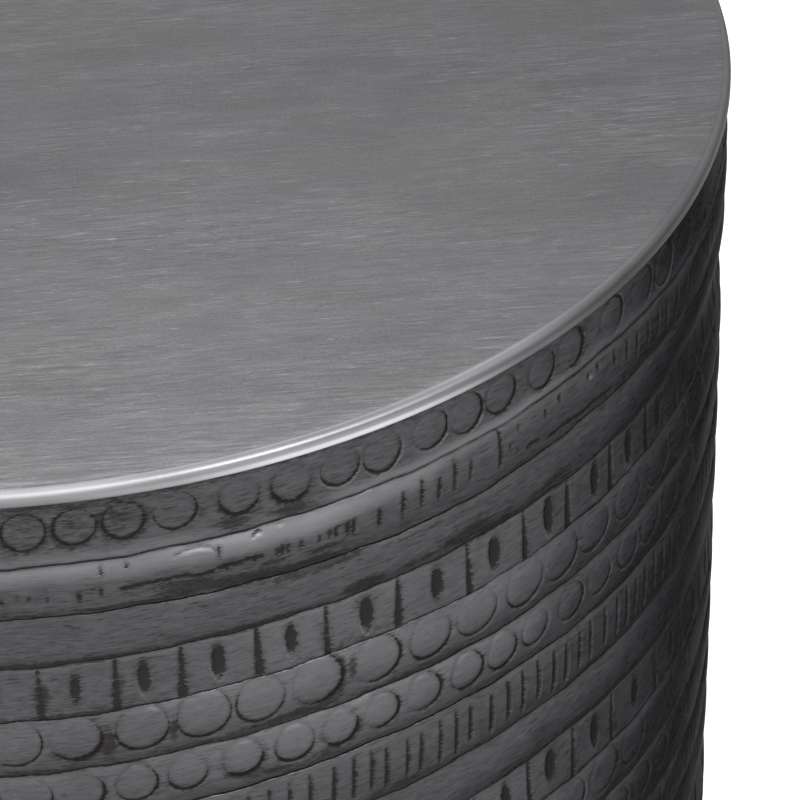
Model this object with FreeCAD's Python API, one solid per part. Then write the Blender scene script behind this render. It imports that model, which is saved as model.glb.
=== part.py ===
"""Drum side table: a sheet metal top with a rolled rim over a banded, chased sheet drum.

Units are millimetres. +Z is up, and the origin is on the floor at the centre of the drum.
The front of the table faces -Y. The wall's seam is at the back, on +Y.
"""

import FreeCAD, Part
import math
import os
from FreeCAD import Vector

# Overall size
TABLE_DIAMETER = 460.0        # over the rolled rim
TABLE_HEIGHT = 400.0          # floor to top

# Top sheet
TOP_SHEET_THICKNESS = 1.2
RIM_BEND_RADIUS = 3.0         # outer radius of the rolled rim
RIM_BEND_FLATS = 3            # flats that stand for the bend's curve
RIM_STRAIGHT = 1.6            # plain part of the rim below its bend
RIM_SIDE_CLEARANCE = 1.4      # rim's inner face to the crests of the wall's bands

# Board under the top sheet
BOARD_THICKNESS = 9.0
BOARD_SIDE_CLEARANCE = 0.4    # board to the wall's inner face

# Wall sheet
WALL_THICKNESS = 1.0          # at the bottom of a groove
BAND_RELIEF = 1.6             # depth of the chased grooves
BAND_HEIGHT = 19.4            # nominal; the bands share the wall's height evenly
CREST_SHARE = 0.3             # where the crest lies in a band, from its upper groove
WALL_TOP_CLEARANCE = 0.2      # wall's top edge to the top sheet
TURNED_EDGE_WIDTH = 4.0       # bottom edge of the wall, turned in under the hoop
SEAM_GAP = 0.4                # the butt seam, closed by brazing
SEAM_DIRECTION = 90.0         # degrees from +X

# Cover strip behind the seam
SEAM_STRIP_WIDTH = 30.0
SEAM_STRIP_THICKNESS = 1.2
SEAM_STRIP_CLEARANCE = 0.1    # brazing gap to the wall
SEAM_STRIP_END_GAP = 0.5      # strip to the hoop and to the board

# Steel frame
HOOP_THICKNESS = 3.0
HOOP_HEIGHT = 20.0
HOOP_SIDE_CLEARANCE = 0.2     # hoop to the wall's inner face
UPRIGHT_WIDTH = 20.0
UPRIGHT_THICKNESS = 3.0
UPRIGHT_COUNT = 4
LUG_LENGTH = 30.0
LUG_WIDTH = 24.0
LUG_THICKNESS = 3.0

# Glides
GLIDE_RADIUS = 9.0
GLIDE_HEIGHT = 6.0
GLIDE_EDGE_INSET = 2.0        # lug's inner end to the glide

# Places that follow from the sizes above
RIM_RADIUS = TABLE_DIAMETER / 2.0
RIM_LOWER_EDGE = TABLE_HEIGHT - RIM_BEND_RADIUS - RIM_STRAIGHT
TOP_UNDERSIDE = TABLE_HEIGHT - TOP_SHEET_THICKNESS
BOARD_UNDERSIDE = TOP_UNDERSIDE - BOARD_THICKNESS

CREST_RADIUS = RIM_RADIUS - TOP_SHEET_THICKNESS - RIM_SIDE_CLEARANCE
GROOVE_RADIUS = CREST_RADIUS - BAND_RELIEF
WALL_INNER_RADIUS = GROOVE_RADIUS - WALL_THICKNESS
WALL_TOP = TOP_UNDERSIDE - WALL_TOP_CLEARANCE
WALL_BOTTOM = GLIDE_HEIGHT - WALL_THICKNESS
TURNED_EDGE_RADIUS = WALL_INNER_RADIUS - TURNED_EDGE_WIDTH
BOARD_RADIUS = WALL_INNER_RADIUS - BOARD_SIDE_CLEARANCE

HOOP_OUTER_RADIUS = WALL_INNER_RADIUS - HOOP_SIDE_CLEARANCE
HOOP_INNER_RADIUS = HOOP_OUTER_RADIUS - HOOP_THICKNESS
HOOP_TOP = GLIDE_HEIGHT + HOOP_HEIGHT
UPRIGHT_OUTER_FACE = math.sqrt(HOOP_INNER_RADIUS ** 2 - (UPRIGHT_WIDTH / 2.0) ** 2)
UPRIGHT_INNER_FACE = UPRIGHT_OUTER_FACE - UPRIGHT_THICKNESS
UPRIGHT_BOTTOM = GLIDE_HEIGHT + LUG_THICKNESS
UPRIGHT_TOP = BOARD_UNDERSIDE - LUG_THICKNESS
LUG_OUTER_END = math.sqrt(HOOP_INNER_RADIUS ** 2 - (LUG_WIDTH / 2.0) ** 2)
LUG_INNER_END = LUG_OUTER_END - LUG_LENGTH
GLIDE_PITCH_RADIUS = LUG_INNER_END + GLIDE_EDGE_INSET + GLIDE_RADIUS

FLOOR_CENTRE = Vector(0.0, 0.0, 0.0)
UP = Vector(0.0, 0.0, 1.0)


def profile_face(points):
    """Closed face in the XZ plane through (radius, height) points."""
    corners = [Vector(radius, 0.0, height) for radius, height in points]
    return Part.Face(Part.makePolygon(corners + corners[:1]))


def export(shape, node):
    """Write one node's STEP file."""
    shape.exportStep(os.path.join("parts", node + ".step"))


def around(shape, count):
    """Copies of a shape, evenly spaced round the drum's axis."""
    copies = []
    for index in range(count):
        turned = shape.copy()
        turned.rotate(FLOOR_CENTRE, UP, index * 360.0 / count)
        copies.append(turned)
    return copies


def top_sheet():
    """Flat disc whose edge is rolled down over a bend, revolved from its section."""
    bend_centre_radius = RIM_RADIUS - RIM_BEND_RADIUS
    bend_centre_height = TABLE_HEIGHT - RIM_BEND_RADIUS
    rim_inner_radius = RIM_RADIUS - TOP_SHEET_THICKNESS
    section = [(0.0, TABLE_HEIGHT)]
    for index in range(RIM_BEND_FLATS + 1):
        turn = math.pi / 2.0 * (1.0 - index / RIM_BEND_FLATS)
        section.append((bend_centre_radius + RIM_BEND_RADIUS * math.cos(turn),
                        bend_centre_height + RIM_BEND_RADIUS * math.sin(turn)))
    section += [
        (RIM_RADIUS, RIM_LOWER_EDGE),
        (rim_inner_radius, RIM_LOWER_EDGE),
        (rim_inner_radius, bend_centre_height),
        (bend_centre_radius, TOP_UNDERSIDE),
        (0.0, TOP_UNDERSIDE),
    ]
    return profile_face(section).revolve(FLOOR_CENTRE, UP, 360.0)


def top_board():
    """Fibreboard disc that backs the top sheet and fits inside the wall."""
    return Part.makeCylinder(BOARD_RADIUS, BOARD_THICKNESS, UP * BOARD_UNDERSIDE)


def band_points():
    """Outer profile of the chased wall, downwards: each band bevels out, then tapers in."""
    banded_height = RIM_LOWER_EDGE - WALL_BOTTOM
    band_count = max(1, round(banded_height / BAND_HEIGHT))
    step = banded_height / band_count
    points = [(GROOVE_RADIUS, RIM_LOWER_EDGE)]
    for index in range(band_count):
        upper_groove = RIM_LOWER_EDGE - index * step
        points.append((CREST_RADIUS, upper_groove - CREST_SHARE * step))
        points.append((GROOVE_RADIUS, upper_groove - step))
    return points


def drum_wall():
    """Banded sheet rolled into a drum, open by the seam gap, with its bottom edge turned in."""
    points = [(GROOVE_RADIUS, WALL_TOP)]
    points += band_points()
    points.append((TURNED_EDGE_RADIUS, WALL_BOTTOM))
    points.append((TURNED_EDGE_RADIUS, GLIDE_HEIGHT))
    points.append((WALL_INNER_RADIUS, GLIDE_HEIGHT))
    points.append((WALL_INNER_RADIUS, WALL_TOP))
    seam_angle = math.degrees(SEAM_GAP / WALL_INNER_RADIUS)
    wall = profile_face(points).revolve(FLOOR_CENTRE, UP, 360.0 - seam_angle)
    wall.rotate(FLOOR_CENTRE, UP, SEAM_DIRECTION + seam_angle / 2.0)
    return wall


def seam_strip():
    """Curved cover strip that lies against the wall's inner face behind the seam."""
    outer_radius = WALL_INNER_RADIUS - SEAM_STRIP_CLEARANCE
    inner_radius = outer_radius - SEAM_STRIP_THICKNESS
    low = HOOP_TOP + SEAM_STRIP_END_GAP
    high = BOARD_UNDERSIDE - SEAM_STRIP_END_GAP
    section = profile_face([
        (inner_radius, low), (outer_radius, low), (outer_radius, high), (inner_radius, high),
    ])
    angle = math.degrees(SEAM_STRIP_WIDTH / outer_radius)
    strip = section.revolve(FLOOR_CENTRE, UP, angle)
    strip.rotate(FLOOR_CENTRE, UP, SEAM_DIRECTION - angle / 2.0)
    return strip


def base_hoop():
    """Flat bar rolled into a hoop that stands on the wall's turned-in edge."""
    return profile_face([
        (HOOP_INNER_RADIUS, GLIDE_HEIGHT), (HOOP_OUTER_RADIUS, GLIDE_HEIGHT),
        (HOOP_OUTER_RADIUS, HOOP_TOP), (HOOP_INNER_RADIUS, HOOP_TOP),
    ]).revolve(FLOOR_CENTRE, UP, 360.0)


def upright():
    """Flat bar on +X, between its two lugs, with its long edges against the hoop."""
    corner = Vector(UPRIGHT_INNER_FACE, -UPRIGHT_WIDTH / 2.0, UPRIGHT_BOTTOM)
    height = UPRIGHT_TOP - UPRIGHT_BOTTOM
    return Part.makeBox(UPRIGHT_THICKNESS, UPRIGHT_WIDTH, height, corner)


def lug(height):
    """Plate on +X, welded across an upright's end, with its underside at the given height."""
    corner = Vector(LUG_INNER_END, -LUG_WIDTH / 2.0, height)
    return Part.makeBox(LUG_LENGTH, LUG_WIDTH, LUG_THICKNESS, corner)


def glide():
    """Round nylon pad on +X, pressed under a foot lug."""
    return Part.makeCylinder(GLIDE_RADIUS, GLIDE_HEIGHT, Vector(GLIDE_PITCH_RADIUS, 0.0, 0.0))


def main():
    """Build every sub-part and write its STEP file."""
    os.makedirs("parts", exist_ok=True)
    export(top_sheet(), "top_sheet")
    export(top_board(), "top_board")
    export(drum_wall(), "drum_wall")
    export(seam_strip(), "seam_strip")
    export(base_hoop(), "base_hoop")
    for number, bar in enumerate(around(upright(), UPRIGHT_COUNT), start=1):
        export(bar, "upright_%d" % number)
    export(Part.makeCompound(around(lug(UPRIGHT_TOP), UPRIGHT_COUNT)), "top_lugs")
    export(Part.makeCompound(around(lug(GLIDE_HEIGHT), UPRIGHT_COUNT)), "foot_lugs")
    export(Part.makeCompound(around(glide(), UPRIGHT_COUNT)), "glides")


main()
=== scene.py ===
"""Looks of a drum side table: a chased, stained sheet drum under a brushed top with a rolled rim.

Lengths are metres in Blender, and millimetres where a name ends in _mm. "Around" is the way along
the wall from the front (-Y) towards +X, measured at the rim's radius, and "down" is the depth
below the rim's lower edge.
"""

import logging
import math
from dataclasses import dataclass
from enum import Enum
from typing import Any, Dict, List, Optional, Sequence, Tuple, Union

import bpy
import numpy as np
from mathutils import Matrix, Vector


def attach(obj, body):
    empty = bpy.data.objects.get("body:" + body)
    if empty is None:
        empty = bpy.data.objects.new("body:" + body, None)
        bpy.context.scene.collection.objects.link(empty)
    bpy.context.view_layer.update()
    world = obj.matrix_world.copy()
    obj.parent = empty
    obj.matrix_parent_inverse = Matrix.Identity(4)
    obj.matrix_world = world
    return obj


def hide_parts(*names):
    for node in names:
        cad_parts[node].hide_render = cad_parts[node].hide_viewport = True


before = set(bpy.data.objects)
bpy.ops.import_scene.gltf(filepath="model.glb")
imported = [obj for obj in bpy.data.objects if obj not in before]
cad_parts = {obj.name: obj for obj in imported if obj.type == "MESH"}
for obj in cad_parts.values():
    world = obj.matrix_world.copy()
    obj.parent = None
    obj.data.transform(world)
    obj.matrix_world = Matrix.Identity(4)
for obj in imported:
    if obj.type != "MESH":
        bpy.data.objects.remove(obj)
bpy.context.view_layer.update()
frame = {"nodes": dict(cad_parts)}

LOG = logging.getLogger("drum_table")
MM = 0.001
FULL_TURN = 2.0 * math.pi
ROOT = "root"
BAKE_UV = "OFBake"

# Depth that the patterns of unevenness reach over, which is more than the wall's.
PATTERN_DEPTH_MM = 460.0

Colour = Tuple[float, float, float, float]
Array = np.ndarray
Object = bpy.types.Object
Material = bpy.types.Material
NodeTree = bpy.types.NodeTree
Node = bpy.types.Node
Output = bpy.types.NodeSocket
Source = Union[Output, float, Sequence[float]]
Points = Sequence[Tuple[float, float]]


def grey(value: float, warmth: float = 0.0) -> Colour:
    """Return a linear grey, warmer where warmth is above zero and bluer where it is below."""
    return (value * (1.0 + warmth), value, value * (1.0 - warmth), 1.0)


def pewter(value: float) -> Colour:
    """Return the linear grey of pewter stain, which leans a little to violet."""
    return (value, value * 0.982, value * 1.035, 1.0)


def ease(value: Array) -> Array:
    """Return the smooth step of values, clipped to 0..1."""
    clipped = np.clip(value, 0.0, 1.0)
    return clipped * clipped * (3.0 - 2.0 * clipped)


def peak(value: Array, middle: Any, width: Any) -> Array:
    """Return a smooth peak that is 1 at the middle and fades over the width to both sides."""
    return np.exp(-((value - middle) / width) ** 2)


def eased_line(where: Array, points: Points) -> Array:
    """Follow points with level, smooth passages between them.

    Args:
        where: Places along the line.
        points: (place, value) pairs in rising order of place.

    Returns:
        The value at each place, held level past both ends.
    """
    places = np.array([place for place, _ in points], float)
    values = np.array([value for _, value in points], float)
    index = np.clip(np.searchsorted(places, where) - 1, 0, len(places) - 2)
    share = ease((where - places[index]) / (places[index + 1] - places[index]))
    return values[index] + (values[index + 1] - values[index]) * share


def uneven(around: Array, down: Array, cells: int, cell_mm: float, seed: int) -> Array:
    """Soft unevenness of hand-worked sheet that joins up round the drum.

    Args:
        around: Share of the way round, 0..1, one per column.
        down: Depth in millimetres, of shape (rows, columns).
        cells: How many cells go round the drum.
        cell_mm: Height of a cell.
        seed: Seed of the pattern.

    Returns:
        Values from -1 to 1 in the shape of down.
    """
    rows = int(math.ceil(PATTERN_DEPTH_MM / cell_mm)) + 3
    lattice = np.random.default_rng(seed).uniform(-1.0, 1.0, (rows, cells))
    column = (around % 1.0) * cells
    row = np.clip(down / cell_mm + 1.0, 0.0, rows - 1.001)
    left = np.floor(column).astype(int) % cells
    right = (left + 1) % cells
    top = np.floor(row).astype(int)
    across = ease(column - np.floor(column))
    drop = ease(row - top)
    upper = lattice[top, left] * (1.0 - across) + lattice[top, right] * across
    lower = lattice[top + 1, left] * (1.0 - across) + lattice[top + 1, right] * across
    return upper * (1.0 - drop) + lower * drop


class Graph:
    """Adds shader nodes to one tree and links them."""

    def __init__(self, tree: NodeTree) -> None:
        """Work in the given tree."""
        self.tree = tree

    def feed(self, socket: bpy.types.NodeSocket, source: Source) -> None:
        """Link a socket to an output, or set its value.

        Args:
            socket: The input to feed.
            source: An output, a number or a colour.
        """
        if isinstance(source, bpy.types.NodeSocket):
            self.tree.links.new(source, socket)
        else:
            socket.default_value = source

    def node(self, kind: str, inputs: Optional[Dict[Any, Source]] = None, **settings: Any) -> Node:
        """Add a node.

        Args:
            kind: The node's type name.
            inputs: Socket name or index to an output or a value.
            **settings: Properties of the node.

        Returns:
            The new node.
        """
        made = self.tree.nodes.new(kind)
        for name, value in settings.items():
            setattr(made, name, value)
        for key, source in (inputs or {}).items():
            self.feed(made.inputs[key], source)
        return made

    def math(self, operation: str, *sources: Source) -> Output:
        """Return the output of a Math node."""
        return self.node("ShaderNodeMath", dict(enumerate(sources)), operation=operation).outputs[0]

    def times(self, first: Source, second: Source) -> Output:
        """Return the product of two numbers."""
        return self.math("MULTIPLY", first, second)

    def times_plus(self, first: Source, factor: Source, rest: Source) -> Output:
        """Return a number times a factor, plus the rest."""
        return self.math("MULTIPLY_ADD", first, factor, rest)

    def most(self, first: Source, second: Source) -> Output:
        """Return the larger of two numbers."""
        return self.math("MAXIMUM", first, second)

    def step(self, value: Source, low: float, high: float) -> Output:
        """Pass smoothly from 0 to 1.

        Args:
            value: The number to follow.
            low: Where the result is 0.
            high: Where the result is 1, which may be the smaller number.

        Returns:
            The result, held at 0 and 1 past both ends.
        """
        inputs = {"Value": value, "From Min": low, "From Max": high, "To Min": 0.0, "To Max": 1.0}
        settings = {"interpolation_type": "SMOOTHSTEP", "clamp": True}
        return self.node("ShaderNodeMapRange", inputs, **settings).outputs[0]

    def blend(self, share: Source, first: Source, second: Source) -> Output:
        """Return a colour between two colours."""
        inputs = {0: share, 6: first, 7: second}
        return self.node("ShaderNodeMix", inputs, data_type="RGBA").outputs[2]

    def between(self, share: Source, first: Source, second: Source) -> Output:
        """Return a number between two numbers."""
        inputs = {0: share, 2: first, 3: second}
        return self.node("ShaderNodeMix", inputs, data_type="FLOAT").outputs[0]

    def stretch(self, vector: Source, scale: Source) -> Output:
        """Return a vector multiplied by another."""
        inputs = {0: vector, 1: scale}
        return self.node("ShaderNodeVectorMath", inputs, operation="MULTIPLY").outputs[0]

    def noise(
        self, vector: Source, scale: Source, detail: float = 3.0, roughness: float = 0.55
    ) -> Output:
        """Return the value of a Noise Texture."""
        inputs = {"Vector": vector, "Scale": scale, "Detail": detail, "Roughness": roughness}
        return self.node("ShaderNodeTexNoise", inputs).outputs[0]

    def drawn_noise(self, vector: Source, draw: float, scale: float, detail: float = 3.0) -> Output:
        """Return noise whose spots are drawn out along the first axis, more as draw gets less."""
        return self.noise(self.stretch(vector, (draw, 1.0, 1.0)), scale, detail, 0.6)

    def attribute(self, name: str, output: str = "Fac") -> Output:
        """Return an output of a vertex attribute."""
        return self.node("ShaderNodeAttribute", attribute_name=name).outputs[output]

    def place(self, group: NodeTree, inputs: Dict[str, Source]) -> Node:
        """Place a shared group.

        Args:
            group: The group.
            inputs: Its own values here, by socket name.

        Returns:
            The group's node.
        """
        made = self.tree.nodes.new("ShaderNodeGroup")
        made.node_tree = group
        for name, source in inputs.items():
            self.feed(made.inputs[name], source)
        return made


class Socket(Enum):
    """Kinds of sockets on the shared groups."""

    NUMBER = "NodeSocketFloat"
    VECTOR = "NodeSocketVector"


# An input of a shared group: its name, its kind and its value where nothing is linked.
GroupInput = Tuple[str, Socket, Optional[float]]
PLACE_INPUT: GroupInput = ("Vector", Socket.VECTOR, None)


class SharedEffects:
    """Effects that the finishes use, each built once as a node group."""

    # How stain frays at its edges: the draw and scale of fine and of coarse noise.
    fine_fray: Tuple[float, float] = (0.24, 2100.0)
    coarse_fray: Tuple[float, float] = (0.2, 620.0)

    def __init__(self) -> None:
        """Build every group."""
        self.brushing = self._brushing()
        self.clouds = self._clouds()
        self.struck_ring = self._struck_ring()
        self.recess_stain = self._recess_stain()
        self.edge_wear = self._edge_wear()
        self.dust = self._dust()

    def brushed(self, graph: Graph, vector: Source, along: float, across: float) -> Node:
        """Place the brushing in a finish, with its scales along and across the strokes."""
        inputs = {"Vector": vector, "Along": along, "Across": across}
        return graph.place(self.brushing, inputs)

    def cloudy(self, graph: Graph, vector: Source, size: float, draw: float = 1.0) -> Output:
        """Return cloudy tone in a finish, drawn out along the first axis as draw gets less."""
        inputs = {"Vector": vector, "Size": size, "Draw": draw}
        return graph.place(self.clouds, inputs).outputs[0]

    def worn(self, graph: Graph, vector: Source, reach: float = 0.05) -> Output:
        """Return edge wear in a finish."""
        return graph.place(self.edge_wear, {"Vector": vector, "Reach": reach}).outputs[0]

    @staticmethod
    def _group(
        name: str, inputs: Sequence[GroupInput], outputs: Sequence[str]
    ) -> Tuple[Graph, Dict[str, Output], Dict[str, Output]]:
        """Start a group.

        Args:
            name: The group's name.
            inputs: Its inputs.
            outputs: The names of its outputs, which are all numbers.

        Returns:
            The group's graph, and its inputs and its outputs by name.
        """
        tree = bpy.data.node_groups.new(name, "ShaderNodeTree")
        for label, kind, value in inputs:
            made = tree.interface.new_socket(label, in_out="INPUT", socket_type=kind.value)
            if value is not None:
                made.default_value = value
        for label in outputs:
            tree.interface.new_socket(label, in_out="OUTPUT", socket_type=Socket.NUMBER.value)
        given = tree.nodes.new("NodeGroupInput").outputs
        result = tree.nodes.new("NodeGroupOutput").inputs
        return (Graph(tree), {label: given[label] for label, _, _ in inputs},
                {label: result[label] for label in outputs})

    def _brushing(self) -> NodeTree:
        """Build the fine straight scratches of a wire brush, in two weights.

        Returns:
            The group, which puts out streaks of 0..1 and a height.
        """
        graph, given, result = self._group(
            "brushing",
            [PLACE_INPUT, ("Along", Socket.NUMBER, 14.0), ("Across", Socket.NUMBER, 900.0)],
            ["Streaks", "Height"],
        )
        scales = {0: given["Along"], 1: given["Across"], 2: 1.0}
        fine_scale = graph.node("ShaderNodeCombineXYZ", scales).outputs[0]
        fine = graph.noise(graph.stretch(given["Vector"], fine_scale), 1.0, 2.0)
        broad_scale = graph.stretch(fine_scale, (0.45, 0.26, 1.0))
        broad = graph.noise(graph.stretch(given["Vector"], broad_scale), 1.0, 3.0)
        both = graph.times_plus(fine, 0.55, graph.times(broad, 0.45))
        graph.feed(result["Streaks"], graph.step(both, 0.3, 0.7))
        graph.feed(result["Height"], both)
        return graph.tree

    def _clouds(self) -> NodeTree:
        """Build the uneven, cloudy tone of stain that was wiped on and rubbed back.

        Returns:
            The group, which puts out a tone of 0..1.
        """
        graph, given, result = self._group(
            "clouds",
            [PLACE_INPUT, ("Size", Socket.NUMBER, 14.0), ("Draw", Socket.NUMBER, 0.35)],
            ["Tone"],
        )
        scale = graph.node("ShaderNodeCombineXYZ", {0: given["Draw"], 1: 1.0, 2: 1.0}).outputs[0]
        drawn = graph.stretch(given["Vector"], scale)
        large = graph.noise(drawn, given["Size"], 4.0, 0.6)
        small = graph.noise(drawn, graph.times(given["Size"], 4.3), 3.0, 0.6)
        both = graph.times_plus(large, 0.7, graph.times(small, 0.3))
        graph.feed(result["Tone"], graph.step(both, 0.32, 0.68))
        return graph.tree

    def _struck_ring(self) -> NodeTree:
        """Build the ring round a struck disc.

        Returns:
            The group, which puts out the distance to the ring's line in line breadths, and the
            painted highlight on the lip outside it.
        """
        graph, given, result = self._group(
            "struck_ring",
            [("Mark", Socket.VECTOR, None), ("Breadth", Socket.NUMBER, 1.0),
             ("Slack", Socket.NUMBER, 9.0), ("Lip", Socket.NUMBER, 0.0)],
            ["Outline", "Shine"],
        )
        flat = graph.stretch(given["Mark"], (1.0, 1.0, 0.0))
        spread = graph.node("ShaderNodeVectorMath", {0: flat}, operation="LENGTH").outputs["Value"]
        radius = graph.node("ShaderNodeSeparateXYZ", {0: given["Mark"]}).outputs[2]
        gap = graph.math("SUBTRACT", spread, radius)
        near = graph.math("DIVIDE", graph.math("ABSOLUTE", gap), given["Breadth"])
        beyond = graph.math("ABSOLUTE", graph.math("SUBTRACT", gap, 0.85))
        graph.feed(result["Outline"], graph.math("ADD", near, given["Slack"]))
        graph.feed(result["Shine"], graph.times(graph.step(beyond, 0.6, 0.05), given["Lip"]))
        return graph.tree

    def _recess_stain(self) -> NodeTree:
        """Build the dark stain in grooves, outlines and pits, and painted shade, with ragged,
        brushed edges.

        Returns:
            The group. Groove, Outline and Pit are distances to those marks, and Blot grows with
            loose stain and painted shade. It puts out all the stain and shade, and the dark lines
            alone.
        """
        graph, given, result = self._group(
            "recess_stain",
            [PLACE_INPUT, ("Groove", Socket.NUMBER, 9.0), ("Outline", Socket.NUMBER, 9.0),
             ("Pit", Socket.NUMBER, 9.0), ("Blot", Socket.NUMBER, 0.0),
             ("Streaks", Socket.NUMBER, 0.5)],
            ["Stain", "Line"],
        )
        fine = graph.drawn_noise(given["Vector"], *self.fine_fray)
        coarse = graph.drawn_noise(given["Vector"], *self.coarse_fray)
        patchy = graph.step(graph.drawn_noise(given["Vector"], 0.5, 55.0), 0.3, 0.62)
        hair = graph.step(graph.times_plus(fine, 0.6, graph.times(coarse, 0.4)), 0.38, 0.62)
        fray = graph.times_plus(fine, 2.6, graph.times_plus(coarse, 1.3, -1.95))

        def frayed(label: str, sway: float, outer: float, inner: float) -> Output:
            """Return how dark a mark is, 0 at the outer distance and 1 at the inner one."""
            return graph.step(graph.times_plus(fray, sway, given[label]), outer, inner)

        groove = graph.times(frayed("Groove", 0.45, 0.62, 0.05), graph.between(patchy, 0.6, 1.0))
        outline = graph.times(frayed("Outline", 0.5, 0.64, 0.1), graph.between(patchy, 0.78, 1.0))
        pit = frayed("Pit", 1.3, 0.35, -0.15)
        line = graph.most(groove, graph.most(outline, graph.times(pit, 0.3)))

        near = graph.step(given["Groove"], 2.6, 0.2)
        near = graph.most(near, graph.step(given["Outline"], 1.6, 0.2))
        near = graph.most(near, graph.step(given["Pit"], 1.7, 0.0))
        halo = graph.times(near, graph.between(hair, 0.58, 0.22))
        loose = graph.times_plus(hair, -0.75, graph.times_plus(given["Streaks"], -0.45, 0.42))
        blot = graph.step(graph.times_plus(given["Blot"], 2.1, loose), 0.1, 1.35)
        blot = graph.times(blot, graph.between(hair, 1.0, 0.72))
        soft = graph.most(graph.times(halo, 0.7), graph.times(blot, 0.95))
        soft = graph.most(soft, graph.times(pit, 0.92))
        graph.feed(result["Stain"], graph.most(line, soft))
        graph.feed(result["Line"], line)
        return graph.tree

    def _edge_wear(self) -> NodeTree:
        """Build the rubbed metal along outward edges.

        Returns:
            The group, which puts out wear from the mesh's pointiness and a ragged noise.
        """
        inputs = [PLACE_INPUT, ("Reach", Socket.NUMBER, 0.06)]
        graph, given, result = self._group("edge_wear", inputs, ["Wear"])
        point = graph.node("ShaderNodeNewGeometry").outputs["Pointiness"]
        ragged = graph.noise(given["Vector"], 180.0, 4.0, 0.65)
        held = graph.math("SUBTRACT", point, given["Reach"])
        raised = graph.times_plus(ragged, given["Reach"], held)
        graph.feed(result["Wear"], graph.step(raised, 0.5, 0.56))
        return graph.tree

    def _dust(self) -> NodeTree:
        """Build the thin, patchy dust on faces that look up.

        Returns:
            The group, which puts out the dust.
        """
        inputs = [PLACE_INPUT, ("Amount", Socket.NUMBER, 0.2)]
        graph, given, result = self._group("dust", inputs, ["Dust"])
        normal = graph.node("ShaderNodeNewGeometry").outputs["Normal"]
        upward = graph.step(graph.node("ShaderNodeSeparateXYZ", {0: normal}).outputs[2], 0.3, 1.0)
        patchy = graph.step(graph.noise(given["Vector"], 60.0, 4.0), 0.35, 0.75)
        graph.feed(result["Dust"], graph.times(graph.times(upward, patchy), given["Amount"]))
        return graph.tree


class Surface:
    """A new material with its graph and its Principled shader."""

    def __init__(self, name: str) -> None:
        """Make the material.

        Args:
            name: The material's name.
        """
        self.material = bpy.data.materials.new(name)
        self.material.use_nodes = True
        self.graph = Graph(self.material.node_tree)
        self.shader = self.material.node_tree.nodes["Principled BSDF"]

    def set(self, **values: Source) -> None:
        """Feed shader sockets, named with underscores for spaces."""
        for name, source in values.items():
            self.graph.feed(self.shader.inputs[name.replace("_", " ")], source)

    def bump(self, height: Source, strength: float, distance: float) -> None:
        """Feed a height into the shader's normal."""
        inputs = {"Height": height, "Strength": strength, "Distance": distance}
        self.set(Normal=self.graph.node("ShaderNodeBump", inputs).outputs[0])

    def object_place(self) -> Output:
        """Return the object's own coordinates."""
        return self.graph.node("ShaderNodeTexCoord").outputs["Object"]


@dataclass(frozen=True)
class BrushedPewterTop:
    """Brushed, stained top metal, paler rubbed clouds, a rolled edge rubbed and painted with
    highlights.
    """

    face: Colour = pewter(0.118)
    deep: Colour = pewter(0.08)
    olive: Colour = (0.105, 0.1055, 0.1, 1.0)
    pale: Colour = pewter(0.235)
    nick: Colour = pewter(0.45)
    # Pale metal that the rim's painted highlights blend towards, partly rubbed metal.
    rubbed_and_highlit: Colour = (0.97, 0.955, 1.0, 1.0)
    brush_along: float = 150.0
    brush_across: float = 4600.0
    cloud_size: float = 9.0
    tint_size: float = 21.0
    veil_size: float = 34.0
    grain_scale: float = 1900.0
    nick_scale: Tuple[float, float, float] = (140.0, 3600.0, 1.0)
    roughness: float = 0.27
    rim_roughness: float = 0.4

    def make(self, effects: SharedEffects) -> Material:
        """Make the finish.

        Args:
            effects: The shared effects.

        Returns:
            The material, which reads the rim attributes of the top.
        """
        made = Surface("brushed_pewter_top")
        graph = made.graph
        place = made.object_place()
        brushing = effects.brushed(graph, place, self.brush_along, self.brush_across)
        streaks = brushing.outputs["Streaks"]
        veil = effects.cloudy(graph, place, self.veil_size, 0.35)
        colour = self._stained(graph, effects, place)
        lit = graph.times(graph.times(streaks, streaks), graph.between(veil, 0.22, 0.84))
        colour = graph.blend(lit, colour, self.pale)
        grain = graph.step(graph.drawn_noise(place, 0.6, self.grain_scale, 2.0), 0.4, 0.75)
        colour = graph.blend(graph.times(grain, 0.25), colour, self.pale)
        dark = graph.times(graph.step(streaks, 0.35, 0.05), 0.4)
        colour = graph.blend(dark, colour, self.deep)
        nicks = graph.step(graph.noise(graph.stretch(place, self.nick_scale), 1.0, 1.0), 0.67, 0.78)
        colour = graph.blend(graph.times(nicks, graph.between(veil, 0.1, 0.75)), colour, self.nick)

        # On the rim, the tone attribute paints highlights and shade round the bend, partly rubbed
        # metal.
        rim = graph.attribute("rim")
        tone = graph.times(graph.attribute("tone"), graph.between(veil, 0.9, 1.06))
        colour = graph.blend(rim, colour, graph.blend(tone, grey(0.0), self.rubbed_and_highlit))
        rough = graph.between(streaks, self.roughness + 0.07, self.roughness - 0.05)
        rough = graph.between(rim, rough, self.rim_roughness)
        made.set(Base_Color=colour, Metallic=1.0, Roughness=rough)
        made.bump(brushing.outputs["Height"], 0.12, 0.0001)
        return made.material

    def _stained(self, graph: Graph, effects: SharedEffects, place: Source) -> Output:
        """Lay the stain before brushing.

        Args:
            graph: The material's graph.
            effects: The shared effects.
            place: The object's own coordinates.

        Returns:
            The colour: dark and paler clouds, some of them with an olive tint.
        """
        clouds = effects.cloudy(graph, place, self.cloud_size, 0.5)
        tint = effects.cloudy(graph, place, self.tint_size, 0.7)
        base = graph.blend(clouds, self.deep, self.face)
        return graph.blend(graph.times(graph.step(tint, 0.45, 1.0), 0.55), base, self.olive)


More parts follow.
